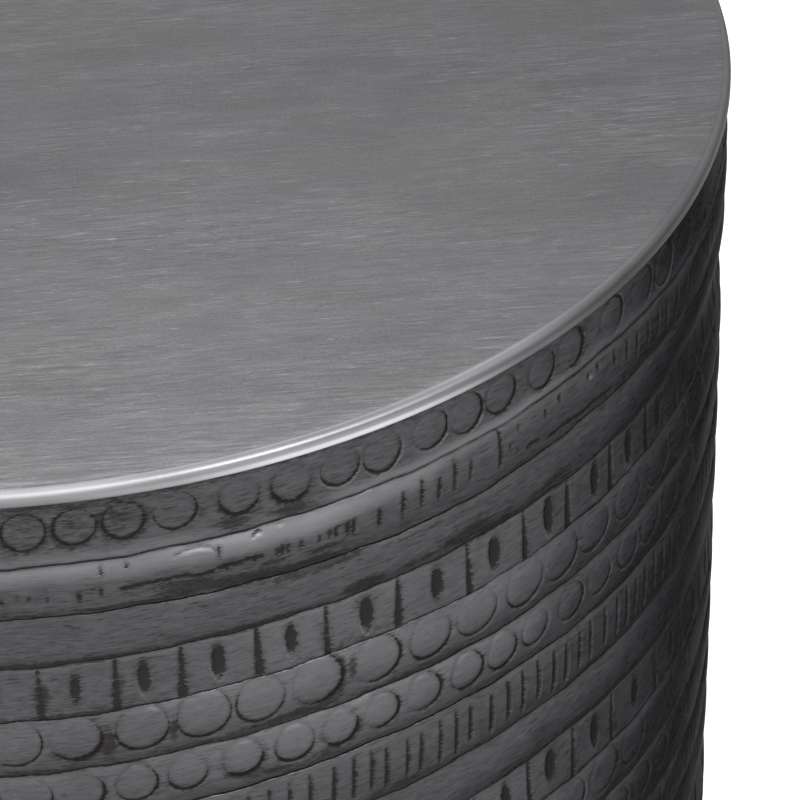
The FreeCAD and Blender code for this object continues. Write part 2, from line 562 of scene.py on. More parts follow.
@dataclass(frozen=True)
class ChasedPewter:
    """Stained wall metal: rubbed grey faces with painted highlights, near-black stain in every
    recess, and painted shade.
    """

    face: Colour = pewter(0.093)
    pale: Colour = pewter(0.185)
    dull: Colour = pewter(0.064)
    # Pale metal of wiped faces and of painted highlights.
    highlit: Colour = pewter(0.34)
    # Colour of stain, and of the painted shade that goes with it.
    stain: Colour = (0.037, 0.034, 0.0325, 1.0)
    line: Colour = (0.025, 0.0231, 0.0226, 1.0)
    brush_along: float = 300.0
    brush_across: float = 2200.0
    cloud_size: float = 60.0
    hair_scale: float = 1500.0
    roughness: float = 0.36
    stained_roughness: float = 0.58

    def make(self, effects: SharedEffects) -> Material:
        """Make the finish.

        Args:
            effects: The shared effects.

        Returns:
            The material, which reads the wall's chased attributes.
        """
        made = Surface("chased_pewter")
        graph = made.graph
        sheet = graph.attribute("sheet", "Vector")
        brushing = effects.brushed(graph, sheet, self.brush_along, self.brush_across)
        streaks = brushing.outputs["Streaks"]
        ring = graph.place(effects.struck_ring, {
            "Mark": graph.attribute("mark", "Vector"), "Breadth": graph.attribute("breadth"),
            "Slack": graph.attribute("slack"), "Lip": graph.attribute("lip"),
        }).outputs
        recess = graph.place(effects.recess_stain, {
            "Vector": sheet, "Groove": graph.attribute("groove"), "Outline": ring["Outline"],
            "Pit": graph.attribute("pit"), "Blot": graph.attribute("blot"), "Streaks": streaks,
        }).outputs
        clouds = effects.cloudy(graph, sheet, self.cloud_size, 0.4)
        rubbed_and_highlit = graph.blend(clouds, self.dull, self.face)
        rubbed_and_highlit = graph.blend(graph.times(streaks, 0.46), rubbed_and_highlit, self.pale)
        hairs = graph.step(graph.drawn_noise(sheet, 0.12, self.hair_scale), 0.47, 0.3)
        rubbed_and_highlit = graph.blend(graph.times(hairs, 0.8), rubbed_and_highlit, self.stain)
        # Wiped faces and painted highlights: paler band tops and upper edges, lips, creases and cut
        # edges.
        rub = graph.most(graph.attribute("rub"), ring["Shine"])
        rubbed_and_highlit = graph.blend(graph.times(rub, 0.9), rubbed_and_highlit, self.highlit)
        stained_and_shaded = recess["Stain"]
        colour = graph.blend(stained_and_shaded, rubbed_and_highlit, self.stain)
        rough = graph.between(streaks, self.roughness + 0.06, self.roughness - 0.06)
        made.set(
            Base_Color=graph.blend(recess["Line"], colour, self.line),
            Metallic=graph.between(stained_and_shaded, 1.0, 0.7),
            Roughness=graph.between(stained_and_shaded, rough, self.stained_roughness),
            Specular_Tint=grey(0.18),
            Specular_IOR_Level=0.0,
        )
        brushed_height = graph.times(brushing.outputs["Height"], 0.16)
        made.bump(graph.times_plus(recess["Line"], -0.55, brushed_height), 0.55, 0.0004)
        return made.material


@dataclass(frozen=True)
class PaintedSteel:
    """Satin black paint on steel bar, rubbed to metal on its edges."""

    paint: Colour = grey(0.022)
    faded: Colour = grey(0.034)
    dusty: Colour = grey(0.16, 0.08)
    bare: Colour = grey(0.3, 0.03)

    def make(self, effects: SharedEffects) -> Material:
        """Make the finish.

        Args:
            effects: The shared effects.

        Returns:
            The material.
        """
        made = Surface("painted_steel")
        graph = made.graph
        place = made.object_place()
        wear = effects.worn(graph, place)
        dust = graph.place(effects.dust, {"Vector": place, "Amount": 0.3}).outputs[0]
        mottle = effects.cloudy(graph, place, 70.0)
        paint = graph.blend(dust, graph.blend(mottle, self.paint, self.faded), self.dusty)
        rough = graph.between(mottle, 0.42, 0.55)
        made.set(Base_Color=graph.blend(wear, paint, self.bare), Metallic=wear, Roughness=rough)
        made.bump(graph.noise(place, 900.0, 2.0), 0.18, 0.0003)
        return made.material


@dataclass(frozen=True)
class BrazedStrip:
    """Plain rolled sheet with heat tint along the brazed seam."""

    metal: Colour = grey(0.4)
    tint: Colour = (0.3, 0.2, 0.12, 1.0)

    def make(self, effects: SharedEffects) -> Material:
        """Make the finish.

        Args:
            effects: The shared effects.

        Returns:
            The material.
        """
        made = Surface("brazed_strip")
        graph = made.graph
        place = made.object_place()
        quarter_turn = {"Vector": place, "Rotation": (0.0, math.pi / 2.0, 0.0)}
        upright = graph.node("ShaderNodeMapping", quarter_turn).outputs[0]
        brushing = effects.brushed(graph, upright, 12.0, 500.0).outputs
        heat = graph.times(effects.cloudy(graph, place, 40.0), 0.45)
        rough = graph.between(brushing["Streaks"], 0.5, 0.36)
        made.set(Base_Color=graph.blend(heat, self.metal, self.tint), Metallic=1.0, Roughness=rough)
        made.bump(brushing["Height"], 0.2, 0.0002)
        return made.material


@dataclass(frozen=True)
class RawFibreboard:
    """Raw fibreboard: fine brown felted fibres with darker pressed flecks."""

    pale: Colour = (0.36, 0.24, 0.14, 1.0)
    dark: Colour = (0.22, 0.14, 0.08, 1.0)

    def make(self, effects: SharedEffects) -> Material:
        """Make the finish.

        Args:
            effects: The shared effects.

        Returns:
            The material.
        """
        made = Surface("raw_fibreboard")
        graph = made.graph
        place = made.object_place()
        felt = graph.noise(place, 700.0, 4.0, 0.7)
        mottle = effects.cloudy(graph, place, 25.0)
        shade = graph.step(graph.times_plus(felt, 0.6, graph.times(mottle, 0.4)), 0.3, 0.7)
        rough = graph.between(felt, 0.75, 0.9)
        made.set(Base_Color=graph.blend(shade, self.dark, self.pale), Roughness=rough)
        made.bump(felt, 0.3, 0.0003)
        return made.material


@dataclass(frozen=True)
class MouldedNylon:
    """Black moulded nylon with a fine spark-eroded grain and scuffed, dusty faces."""

    body: Colour = grey(0.028)
    scuff: Colour = grey(0.11, 0.03)

    def make(self, effects: SharedEffects) -> Material:
        """Make the finish.

        Args:
            effects: The shared effects, which this finish does without.

        Returns:
            The material.
        """
        made = Surface("moulded_nylon")
        graph = made.graph
        place = made.object_place()
        grain = graph.noise(place, 1500.0, 2.0)
        scuffs = graph.noise(graph.stretch(place, (1.0, 1.0, 4.0)), 160.0, 5.0, 0.7)
        colour = graph.blend(graph.step(scuffs, 0.55, 0.8), self.body, self.scuff)
        made.set(Base_Color=colour, Roughness=graph.between(grain, 0.48, 0.62))
        made.bump(grain, 0.25, 0.0002)
        return made.material


@dataclass(frozen=True)
class ZincPlate:
    """Zinc plated screws, a little dulled."""

    plate: Colour = grey(0.42, 0.01)
    dull: Colour = grey(0.24, 0.03)
    bare: Colour = grey(0.5)

    def make(self, effects: SharedEffects) -> Material:
        """Make the finish.

        Args:
            effects: The shared effects.

        Returns:
            The material.
        """
        made = Surface("zinc_plate")
        graph = made.graph
        place = made.object_place()
        mottle = effects.cloudy(graph, place, 420.0)
        plate = graph.blend(mottle, self.dull, self.plate)
        colour = graph.blend(effects.worn(graph, place), plate, self.bare)
        made.set(Base_Color=colour, Metallic=1.0, Roughness=graph.between(mottle, 0.5, 0.34))
        made.bump(mottle, 0.1, 0.0002)
        return made.material


def ring_quads(first: int, second: int, columns: int) -> Array:
    """Join two rings of vertices.

    Args:
        first: Number of one ring.
        second: Number of the other ring.
        columns: How many vertices a ring has.

    Returns:
        Vertex numbers of the quads between the rings, (columns, 4).
    """
    column = np.arange(columns)
    following = (column + 1) % columns
    corners = ((first, column), (second, column), (second, following), (first, following))
    return np.stack([ring * columns + place for ring, place in corners], axis=1)


def corner_uvs(corners: Sequence[Tuple[Array, Array]]) -> Array:
    """Return the UVs of quads, (quads, 4, 2), from the u and v of each of their corners."""
    return np.stack([np.stack([u, v], axis=-1) for u, v in corners], axis=1)


def sheet_mesh(
    name: str, places: Array, faces: Array, uvs: Array,
    floats: Dict[str, Array], vectors: Dict[str, Array],
) -> Object:
    """Make a smooth mesh object of quads.

    Args:
        name: The piece's name.
        places: Vertex places in metres, whose last axis is x, y and z.
        faces: Vertex numbers of each quad, (faces, 4).
        uvs: UV of each quad's corners, (faces, 4, 2).
        floats: Number attributes, one value per vertex.
        vectors: Vector attributes, three values per vertex.

    Returns:
        The object, linked to the scene.
    """
    mesh = bpy.data.meshes.new(name)
    mesh.vertices.add(places.size // 3)
    mesh.vertices.foreach_set("co", places.astype(np.float32).ravel())
    mesh.loops.add(faces.size)
    mesh.loops.foreach_set("vertex_index", faces.astype(np.int32).ravel())
    mesh.polygons.add(len(faces))
    mesh.polygons.foreach_set("loop_start", np.arange(0, faces.size, 4, dtype=np.int32))
    mesh.polygons.foreach_set("use_smooth", np.ones(len(faces), bool))
    layer = mesh.uv_layers.new(name=BAKE_UV)
    layer.uv.foreach_set("vector", uvs.astype(np.float32).ravel())
    layers = [(label, "FLOAT", "value", values) for label, values in floats.items()]
    layers += [(label, "FLOAT_VECTOR", "vector", values) for label, values in vectors.items()]
    for label, kind, member, values in layers:
        made = mesh.attributes.new(label, kind, "POINT")
        made.data.foreach_set(member, values.astype(np.float32).ravel())
    mesh.update(calc_edges=True)
    mesh.validate()
    made_object = bpy.data.objects.new(name, mesh)
    bpy.context.scene.collection.objects.link(made_object)
    return made_object


def seat(piece: Object, slot: str, material: Material, *nodes: str) -> Object:
    """Dress a new piece and seat it on the table's body.

    Args:
        piece: The piece.
        slot: The material slot that it has in the solids; not used.
        material: Its finish.
        *nodes: The solids' nodes that it stands for, if any.

    Returns:
        The piece.
    """
    piece.data.materials.append(material)
    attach(piece, ROOT)
    if nodes:
        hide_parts(*nodes)
    return piece


@dataclass
class TopPlate:
    """The round top: a brushed disc whose edge rolls down over the wall.

    Stations number the section: -1 on the face, 0 to 1 round the bend, 1 to 2 down to the lip,
    and 3 inside.
    """

    radius_mm: float = 229.93
    height_mm: float = 400.0
    sheet_mm: float = 1.2
    bend_mm: float = 3.0
    straight_mm: float = 2.3
    columns: int = 900
    face_rings: int = 77
    ring_crowding: float = 0.9
    bend_steps: int = 16
    straight_shares: Tuple[float, ...] = (0.35, 0.7)
    lip_steps: int = 6
    inner_steps: int = 4
    seed: int = 7

    # The disc is closed but for a pinhole, and its second ring lies at this share of the way out.
    centre_mm: float = 0.04
    pin_share: float = 0.0008

    # How far the face dips, in how many cells round it and of what size, and how far from its
    # centre and from its edge that fades.
    waviness_mm: float = 0.05
    wave_cells: int = 16
    wave_cell_mm: float = 55.0
    wave_fades_mm: Tuple[float, float] = (60.0, 10.0)

    # How deep the crease round the bend is under the lip's painted highlight, its station and
    # width.
    crease_mm: float = 0.1
    crease_station: float = 0.88
    crease_width: float = 0.14

    # Painted highlights and shade on the rolled rim, standing partly for rubbed metal: how pale the
    # start of the bend, its crown and its lip are at each turn from the front in degrees, and the
    # tone where nothing is painted.
    rim_shoulder_highlight: Points = (
        (-180, 0.1), (-60, 0.12), (-10, 0.03), (4, 0.032), (9, 0.068), (13, 0.08), (20, 0.14),
        (25, 0.165), (30, 0.21), (34, 0.25), (45, 0.165), (60, 0.12), (120, 0.08), (180, 0.1),
    )
    rim_crown_highlight: Points = (
        (-180, 0.3), (-120, 0.6), (-60, 0.3), (-12, 0.68), (2, 0.65), (12, 0.42), (25, 0.25),
        (35, 0.22), (50, 0.11), (110, 0.08), (150, 0.6), (180, 0.3),
    )
    rim_lip_highlight: Points = (
        (-180, 0.2), (-100, 0.5), (-50, 0.2), (-25, 0.45), (2, 0.3), (9, 0.44), (20, 1.0),
        (25, 0.94), (40, 0.19), (52, 0.07), (75, 0.06), (120, 0.1), (160, 0.5), (180, 0.2),
    )
    plain_tone: float = 0.1

    # Shares of the plain tone and of the painted shoulder, crown and lip highlights at each
    # station.
    tone_stops: Tuple[Tuple[float, Tuple[float, float, float, float]], ...] = (
        (0.0, (0.4, 0.4, 0.0, 0.0)), (0.12, (0.0, 1.0, 0.0, 0.0)), (0.27, (0.0, 1.2, 0.15, 0.0)),
        (0.45, (0.0, 0.58, 0.58, 0.0)), (0.68, (0.0, 0.0, 1.0, 0.0)),
        (0.93, (0.0, 0.0, 0.46, 0.28)), (1.4, (0.0, 0.0, 0.0, 1.0)), (2.0, (0.0, 0.0, 0.0, 0.7)),
        (3.0, (1.0, 0.0, 0.0, 0.0)),
    )

    # The bake map: the disc's middle and radius, then the columns of strips beside it.
    map_middle: float = 0.455
    map_radius: float = 0.45
    map_strips: int = 4
    map_strip_left: float = 0.92
    map_strip_pitch: float = 0.02
    map_strip_width: float = 0.017
    map_strip_foot: float = 0.02
    map_strip_height: float = 0.94

    def section(self) -> Tuple[Array, Array]:
        """Work out the revolved section.

        Returns:
            (radius, height) points in millimetres from the centre outwards and back in
            underneath, and each point's station.
        """
        centre_radius = self.radius_mm - self.bend_mm
        bend_height = self.height_mm - self.bend_mm
        lower_edge = bend_height - self.straight_mm
        rows: List[Tuple[float, float, float]] = []
        shares = np.linspace(0.0, 1.0, self.face_rings - 1) ** self.ring_crowding
        for share in (shares[0], self.pin_share, *shares[1:]):
            radius = self.centre_mm + (centre_radius - self.centre_mm) * share
            rows.append((radius, self.height_mm, -1.0 if share < 0.999 else 0.0))
        for index in range(1, self.bend_steps + 1):
            turn = math.pi / 2.0 * index / self.bend_steps
            rows.append((centre_radius + self.bend_mm * math.sin(turn),
                         bend_height + self.bend_mm * math.cos(turn), index / self.bend_steps))
        edge_round = self.sheet_mm / 2.0
        for share in self.straight_shares:
            drop = share * (self.straight_mm - edge_round)
            rows.append((self.radius_mm, bend_height - drop, 1.0 + drop / self.straight_mm))
        for index in range(self.lip_steps + 1):
            turn = math.pi * index / self.lip_steps
            level = lower_edge + edge_round - edge_round * math.sin(turn)
            outside = index <= self.lip_steps // 2
            rows.append((self.radius_mm - edge_round + edge_round * math.cos(turn), level,
                         1.0 + (bend_height - level) / self.straight_mm if outside else 3.0))
        inner_bend = self.bend_mm - self.sheet_mm
        for index in range(self.inner_steps + 1):
            turn = math.pi / 2.0 * index / self.inner_steps
            rows.append((centre_radius + inner_bend * math.cos(turn),
                         bend_height + inner_bend * math.sin(turn), 3.0))
        rows.append((self.centre_mm, self.height_mm - self.sheet_mm, 3.0))
        found = np.array(rows)
        return found[:, :2], found[:, 2]

    def _tone(self, station: Array, degrees: Array) -> Array:
        """Work out the rim's painted highlights and shade, which stand partly for rubbed metal.

        Args:
            station: Each section point's station.
            degrees: Each column's turn from the front.

        Returns:
            Linear greys of shape (points, columns).
        """
        rim_highlights = (self.rim_shoulder_highlight, self.rim_crown_highlight, self.rim_lip_highlight)
        lines = [np.full_like(degrees, self.plain_tone)]
        lines += [eased_line(degrees, points) for points in rim_highlights]
        tone = np.zeros((len(station), len(degrees)))
        for stop, shares in self.tone_stops:
            only_here = [(other, float(other == stop)) for other, _ in self.tone_stops]
            line = sum(share * rubbed_and_highlit for share, rubbed_and_highlit in zip(shares, lines))
            tone += eased_line(station, only_here)[:, None] * line[None, :]
        return tone

    def build(self) -> Object:
        """Build the top.

        Returns:
            One closed mesh.
        """
        section, station = self.section()
        turns = np.linspace(0.0, FULL_TURN, self.columns, endpoint=False)
        degrees = (np.degrees(turns) + 180.0) % 360.0 - 180.0
        share = turns / FULL_TURN
        radius = np.repeat(section[:, :1], self.columns, axis=1)
        height = np.repeat(section[:, 1:], self.columns, axis=1)

        dip = uneven(share, radius, self.wave_cells, self.wave_cell_mm, self.seed) * 0.5 - 0.5
        inner_fade, outer_fade = self.wave_fades_mm
        edge_away = self.radius_mm - self.bend_mm - radius
        fade = ease(radius / inner_fade) * ease(edge_away / outer_fade)
        on_face = (np.arange(len(section)) < self.face_rings)[:, None]
        height = height + np.where(on_face, dip * self.waviness_mm * fade, 0.0)
        creased = peak(station, self.crease_station, self.crease_width)[:, None]
        radius = radius - self.crease_mm * creased * ease(eased_line(degrees, self.rim_lip_highlight) / 0.6)
        places = np.stack([radius * np.sin(turns), -radius * np.cos(turns), height], axis=-1) * MM

        rows = len(section)
        pairs = [(row, (row + 1) % rows) for row in range(rows)]
        faces = np.concatenate([ring_quads(row, below, self.columns) for row, below in pairs])
        uvs = np.concatenate([self._row_uv(section, row, below, share) for row, below in pairs])
        rim = np.repeat(np.clip(station * 4.0, 0.0, 1.0), self.columns)
        # The tone attribute holds the rim's painted highlights and shade.
        floats = {"rim": rim, "tone": self._tone(station, degrees)}
        return sheet_mesh("top_plate", places, faces, uvs, floats, {})

    def _row_uv(self, section: Array, row: int, below: int, share: Array) -> Array:
        """Lay one ring of quads out on the bake map.

        Args:
            section: The revolved section.
            row: Number of the ring's first point.
            below: Number of its second point.
            share: Each column's share of the way round.

        Returns:
            UVs of shape (columns, 4, 2): the face as a disc, the rest as strips beside it.
        """
        step = 1.0 / self.columns
        if row < self.face_rings + 1:
            reaches = section[:, 0] / self.radius_mm * self.map_radius
            near, far = reaches[row], reaches[below]
            turn, after = share * FULL_TURN, (share + step) * FULL_TURN
            spots = ((near, turn), (far, turn), (far, after), (near, after))
            return corner_uvs([(self.map_middle + reach * np.sin(angle),
                                self.map_middle - reach * np.cos(angle)) for reach, angle in spots])
        strip = np.floor(share * self.map_strips)
        left = self.map_strip_left + self.map_strip_pitch * strip
        ring = row - self.face_rings
        ring_width = self.map_strip_width / (len(section) - self.face_rings)
        near, far = left + ring * ring_width, left + (ring + 1) * ring_width
        start = share * self.map_strips - strip
        foot = self.map_strip_foot + self.map_strip_height * start
        head = self.map_strip_foot + self.map_strip_height * (start + step * self.map_strips)
        return corner_uvs([(near, foot), (far, foot), (far, head), (near, head)])

    def dress(self, effects: SharedEffects) -> Object:
        """Build the top, finish it and seat it."""
        return seat(self.build(), "top_metal", BrushedPewterTop().make(effects), "top_sheet")


class BandKind(Enum):
    """What is punched into a band, in the order that the bands repeat."""

    SMALL_ROUNDS = 0
    CUTS = 1
    PLAIN = 2
    LOZENGES = 3
    LARGE_ROUNDS = 4

    @classmethod
    def of(cls, index: int) -> "BandKind":
        """Return the kind of a band, counted from 0 at the top."""
        return cls(index % len(cls))

    def swell(self, share: Array) -> Array:
        """Shape the band's pillow.

        Args:
            share: Shares of the band's height, 0..1.

        Returns:
            How far the band stands out at each share, 0..1.
        """
        crest, above, below = PILLOWS[self]
        upper = 1.0 - np.clip(1.0 - share / crest, 0.0, 1.0) ** above
        lower = 1.0 - np.clip((share - crest) / (1.0 - crest), 0.0, 1.0) ** below
        return upper * lower


# Where each kind of band has its crest, and how flat it is above and below it.
PILLOWS: Dict[BandKind, Tuple[float, float, float]] = {
    BandKind.SMALL_ROUNDS: (0.34, 2.3, 2.3),
    BandKind.CUTS: (0.34, 2.0, 2.2),
    BandKind.PLAIN: (0.42, 1.9, 2.5),
    BandKind.LOZENGES: (0.9, 1.15, 2.2),
    BandKind.LARGE_ROUNDS: (0.34, 2.3, 2.3),
}

# Painted highlight along each kind of band's upper edge, and the most its face is wiped and lit.
EDGE_HIGHLIGHTS: Dict[BandKind, float] = {
    BandKind.SMALL_ROUNDS: 0.0, BandKind.CUTS: 0.26, BandKind.PLAIN: 0.08,
    BandKind.LOZENGES: 0.2, BandKind.LARGE_ROUNDS: 0.2,
}
FACE_WIPES_AND_LIGHT: Dict[BandKind, float] = {
    BandKind.SMALL_ROUNDS: 0.32, BandKind.CUTS: 0.06, BandKind.PLAIN: 0.0,
    BandKind.LOZENGES: 0.19, BandKind.LARGE_ROUNDS: 0.32,
}

# Usual height of a band, by which marks keep clear of the grooves.
BAND_MM = 19.5

# Distance that is read as no mark near.
FAR_MM = 9.0

# Across, down and radius where no struck disc is near.
NO_MARK: Tuple[float, float, float] = (99.0, 99.0, -99.0)

# The arrays of a band that the wall's finish reads.
BAND_LAYERS: Tuple[str, ...] = ("pit", "mark", "breadth", "slack", "lip", "blot", "rub")


class Pattern(Enum):
    """Kinds of unevenness: cells round the wall, height of a cell and seed of the first band."""

    FULLNESS = (24, 60.0, 100)
    DENTS = (92, 9.0, 200)
    HOLLOWS = (37, 19.0, 300)
    STAIN = (70, 200.0, 400)
    RUBBING = (44, 200.0, 500)

    def over(self, around: Array, down: Array, index: int) -> Array:
        """Return this unevenness over a band's share of the way round and depth, -1 to 1."""
        cells, cell_mm, seed = self.value
        return uneven(around, down, cells, cell_mm, seed + index)


@dataclass
class BandField:
    """Working arrays of one band, in millimetres, of shape (rows, columns).

    The nearest struck disc is kept as its distance (gap), as the place across and down from its
    centre with its radius (mark, on a third axis), and as its ring's breadth, slack and painted
    lip highlight.
    Girth is the length once round the wall.
    """

    girth: float
    around: Array
    down: Array
    share: Array
    height: Array
    blot: Array
    rub: Array

    def __post_init__(self) -> None:
        """Start without any mark."""
        self.pit, self.gap, self.slack = (np.full_like(self.down, FAR_MM) for _ in range(3))
        self.mark = np.zeros(self.down.shape + (3,)) + np.array(NO_MARK)
        self.breadth = np.ones_like(self.down)
        self.lip = np.zeros_like(self.down)

    def near(self, centre: float, reach: float) -> Tuple[Array, Array]:
        """Find the columns near a place.

        Args:
            centre: Place around the wall.
            reach: How far to each side.

        Returns:
            The columns' numbers and their signed distances from the centre.
        """
        half = self.girth / 2.0
        away = (self.around - centre + half) % self.girth - half
        found = np.nonzero(np.abs(away) < reach)[0]
        return found, away[found]

    def depth_at(self, columns: Array, share: float) -> float:
        """Return how far down a share of the band's height usually lies in some columns."""
        head, foot = self.down[0, columns], self.down[-1, columns]
        return float(np.median(head + (foot - head) * share))

    def clear_of_grooves(self, fade_mm: float) -> Array:
        """Return 0 at the band's grooves and 1 where they are further off than the fade."""
        share = self.share[:, None]
        return ease(np.minimum(share, 1.0 - share) * BAND_MM / fade_mm)

    def stain(self, columns: Array, amount: Array) -> None:
        """Leave loose stain in some columns, where there isn't more of it."""
        self.blot[:, columns] = np.maximum(self.blot[:, columns], amount)

    def paint_highlight(self, columns: Array, amount: Array) -> None:
        """Paint a highlight on some columns, where they aren't brighter."""
        self.rub[:, columns] = np.maximum(self.rub[:, columns], amount)

    def darken(self, columns: Array, gap: Array) -> None:
        """Note how far some columns are from a pit, where none is nearer."""
        self.pit[:, columns] = np.minimum(self.pit[:, columns], gap)


class RingLook(Enum):
    """Stain and painted shade round a struck disc: line breadth, evenness, halo, lip highlight."""

    STAINED = (1.55, 0.75, 0.65, 0.0)
    CRESCENT = (1.5, 0.25, 0.45, 0.2)
    LIPPED = (1.35, 0.3, 0.26, 0.34)
    BROAD = (2.15, 0.3, 0.6, 0.06)
    THIN = (1.3, 0.5, 0.4, 0.08)
    FAINT = (0.9, 0.0, 0.22, 0.1)


@dataclass(frozen=True)
class RoundPunch:
    """A struck disc: a low dome inside a pressed ring, deepest and with painted shade at one turn.
    """

    around_mm: float
    radius_mm: float
    look: RingLook
    centre_share: float
    ring_mm: float
    dome_mm: float
    shaded_turn: float
    oval: float
    drift_mm: float

    def strike(self, band: BandField) -> None:
        """Press the disc into a band.

        Args:
            band: The band's arrays.
        """
        breadth, evenness, halo, lip = self.look.value
        columns, away = band.near(self.around_mm, self.radius_mm + 4.0)
        middle = band.depth_at(columns, self.centre_share)
        drop = (band.down[:, columns] - middle - self.drift_mm) / self.oval
        side = np.broadcast_to(away, drop.shape)
        spread = np.hypot(side, drop)
        gap = spread - self.radius_mm
        # The ring is deeper on one side; its heavier stain there is partly painted shade, and its
        # lip a painted highlight.
        across, below = math.cos(self.shaded_turn), math.sin(self.shaded_turn)
        facing = (side * across + drop * below) / np.maximum(spread, 0.5)
        strength = 0.5 + evenness / 2.0 + (0.5 - evenness / 2.0) * facing * 1.3
        strength = np.clip(strength, 0.0, 1.0)

        dome = np.clip(1.0 - (spread / self.radius_mm) ** 2, 0.0, 1.0)
        rise = peak(gap, 1.3, 0.8) * (0.04 + 0.1 * lip) * strength
        sunk = self.ring_mm * (0.3 + 0.7 * strength) * peak(gap, 0.0, 0.65)
        band.height[:, columns] += band.clear_of_grooves(1.2) * (self.dome_mm * dome + rise - sunk)

        nearest = np.abs(gap) < band.gap[:, columns]
        place = np.stack([side, drop, np.full_like(drop, self.radius_mm)], axis=-1)
        band.mark[:, columns] = np.where(nearest[:, :, None], place, band.mark[:, columns])
        slack = 1.05 * (1.0 - strength) + 4.0 * np.clip(gap - 1.1, 0.0, 2.0)
        layers = ((band.gap, np.abs(gap)), (band.breadth, breadth), (band.slack, slack),
                  (band.lip, lip * strength ** 2))
        for values, found in layers:
            values[:, columns] = np.where(nearest, found, values[:, columns])
        band.stain(columns, halo * strength * peak(gap, 0.3, 0.7 + 0.55 * breadth))


@dataclass(frozen=True)
class Lozenge:
    """A leaf-shaped pit struck upright in a band."""

    around_mm: float
    half_width_mm: float
    half_length_mm: float
    centre_share: float
    depth_mm: float
    lip: float

    def strike(self, band: BandField) -> None:
        """Press the pit into a band, with a painted highlight on the lip at its foot.

        Args:
            band: The band's arrays.
        """
        columns, away = band.near(self.around_mm, self.half_width_mm + 3.5)
        drop = band.down[:, columns] - band.depth_at(columns, self.centre_share)
        side, fall = away / self.half_width_mm, drop / self.half_length_mm
        gap = (np.sqrt(side ** 2 + fall ** 2) - 1.0) * self.half_width_mm
        band.height[:, columns] -= self.depth_mm * ease(0.2 - gap) - 0.05 * peak(gap, 0.9, 0.6)
        band.darken(columns, gap)
        # Painted highlight on the lip at the pit's foot.
        foot = ease(fall - side * 0.35 - 0.1)
        band.paint_highlight(columns, self.lip * foot * peak(gap, 0.55, 0.35))


@dataclass(frozen=True)
class Cut:
    """A straight upright chisel cut, from one share of the band's height to another.

    Lean moves it sideways on its way down, a faint cut takes less stain, and flare widens its
    foot and narrows its head.
    """

    around_mm: float
    from_share: float
    to_share: float
    half_width_mm: float
    depth_mm: float
    lean: float
    faint: float = 0.0
    flare: float = 0.0

    def strike(self, band: BandField) -> None:
        """Press the cut into a band.

        Args:
            band: The band's arrays.
        """
        columns, away = band.near(self.around_mm, self.half_width_mm + 3.5)
        down = band.down[:, columns]
        top = band.depth_at(columns, self.from_share)
        bottom = band.depth_at(columns, self.to_share)
        along = np.clip((down - top) / max(bottom - top, 0.5), 0.0, 1.0)
        even = (0.5 + 0.5 * np.sin(math.pi * along)) * (1.0 - self.flare)
        breadth = even + self.flare * (0.3 + 1.1 * along)
        beyond = np.maximum(np.maximum(top - down, down - bottom), 0.0)
        side = away + self.lean * (down - top)
        gap = np.hypot(side, beyond) - self.half_width_mm * breadth
        clear = band.clear_of_grooves(0.8)
        band.height[:, columns] -= clear * self.depth_mm * ease(-gap / 0.7 + 0.75)
        band.height[:, columns] += clear * 0.03 * peak(gap, 1.0, 0.6)
        band.darken(columns, gap + self.faint)
        # Painted highlight along the cut's right edge.
        shine = 0.07 * peak(side - self.half_width_mm, 0.5, 0.3) * (beyond < 0.3)
        band.paint_highlight(columns, shine)


def stroke(points: Points, margin: float, band: BandField) -> Tuple[Array, Array, Array]:
    """Find where a line over part of a band runs.

    Args:
        points: (around, down) points of the line, from left to right.
        margin: How far past its ends columns are taken.
        band: The band's arrays.

    Returns:
        The columns' numbers, their places along the line, and how far below the line each of
        their vertices is.
    """
    first, last = points[0][0], points[-1][0]
    columns, away = band.near((first + last) / 2.0, (last - first) / 2.0 + margin)
    along = away + (first + last) / 2.0
    return columns, along, band.down[:, columns] - eased_line(along, points)


@dataclass(frozen=True)
class Score:
    """A dark scored line of uneven breadth, with the metal below it pressed in a little."""

    points: Points
    half_width_mm: float
    pressed_mm: float
    pressed_reach_mm: float

    def scratch(self, band: BandField) -> None:
        """Press the line into a band.

        Args:
            band: The band's arrays.
        """
        columns, along, drop = stroke(self.points, 2.0, band)
        first, last = self.points[0][0], self.points[-1][0]
        beyond = np.maximum(np.maximum(first - along, along - last), 0.0)
        inside = ease(1.0 - beyond / 2.0)
        reach = self.pressed_reach_mm
        below = ease(drop / 0.8 + 0.3) * ease((reach - drop) / reach)
        pressed = self.pressed_mm * below + 0.25 * peak(drop, 0.0, 0.5)
        band.height[:, columns] -= inside * pressed
        band.darken(columns, np.hypot(drop, beyond) - self.half_width_mm)
        band.stain(columns, 0.42 * inside * below)


@dataclass(frozen=True)
class Blot:
    """A patch of stain that was not rubbed off."""

    around_mm: float
    down_mm: float
    half_length_mm: float
    half_height_mm: float
    strength: float

    def lay(self, band: BandField) -> None:
        """Add the patch to a band's stain.

        Args:
            band: The band's arrays.
        """
        columns, away = band.near(self.around_mm, self.half_length_mm * 1.8)
        drop = (band.down[:, columns] - self.down_mm) / self.half_height_mm
        spread = (away / self.half_length_mm) ** 2 + drop ** 2
        band.stain(columns, self.strength * 1.1 * np.exp(-1.1 * spread))


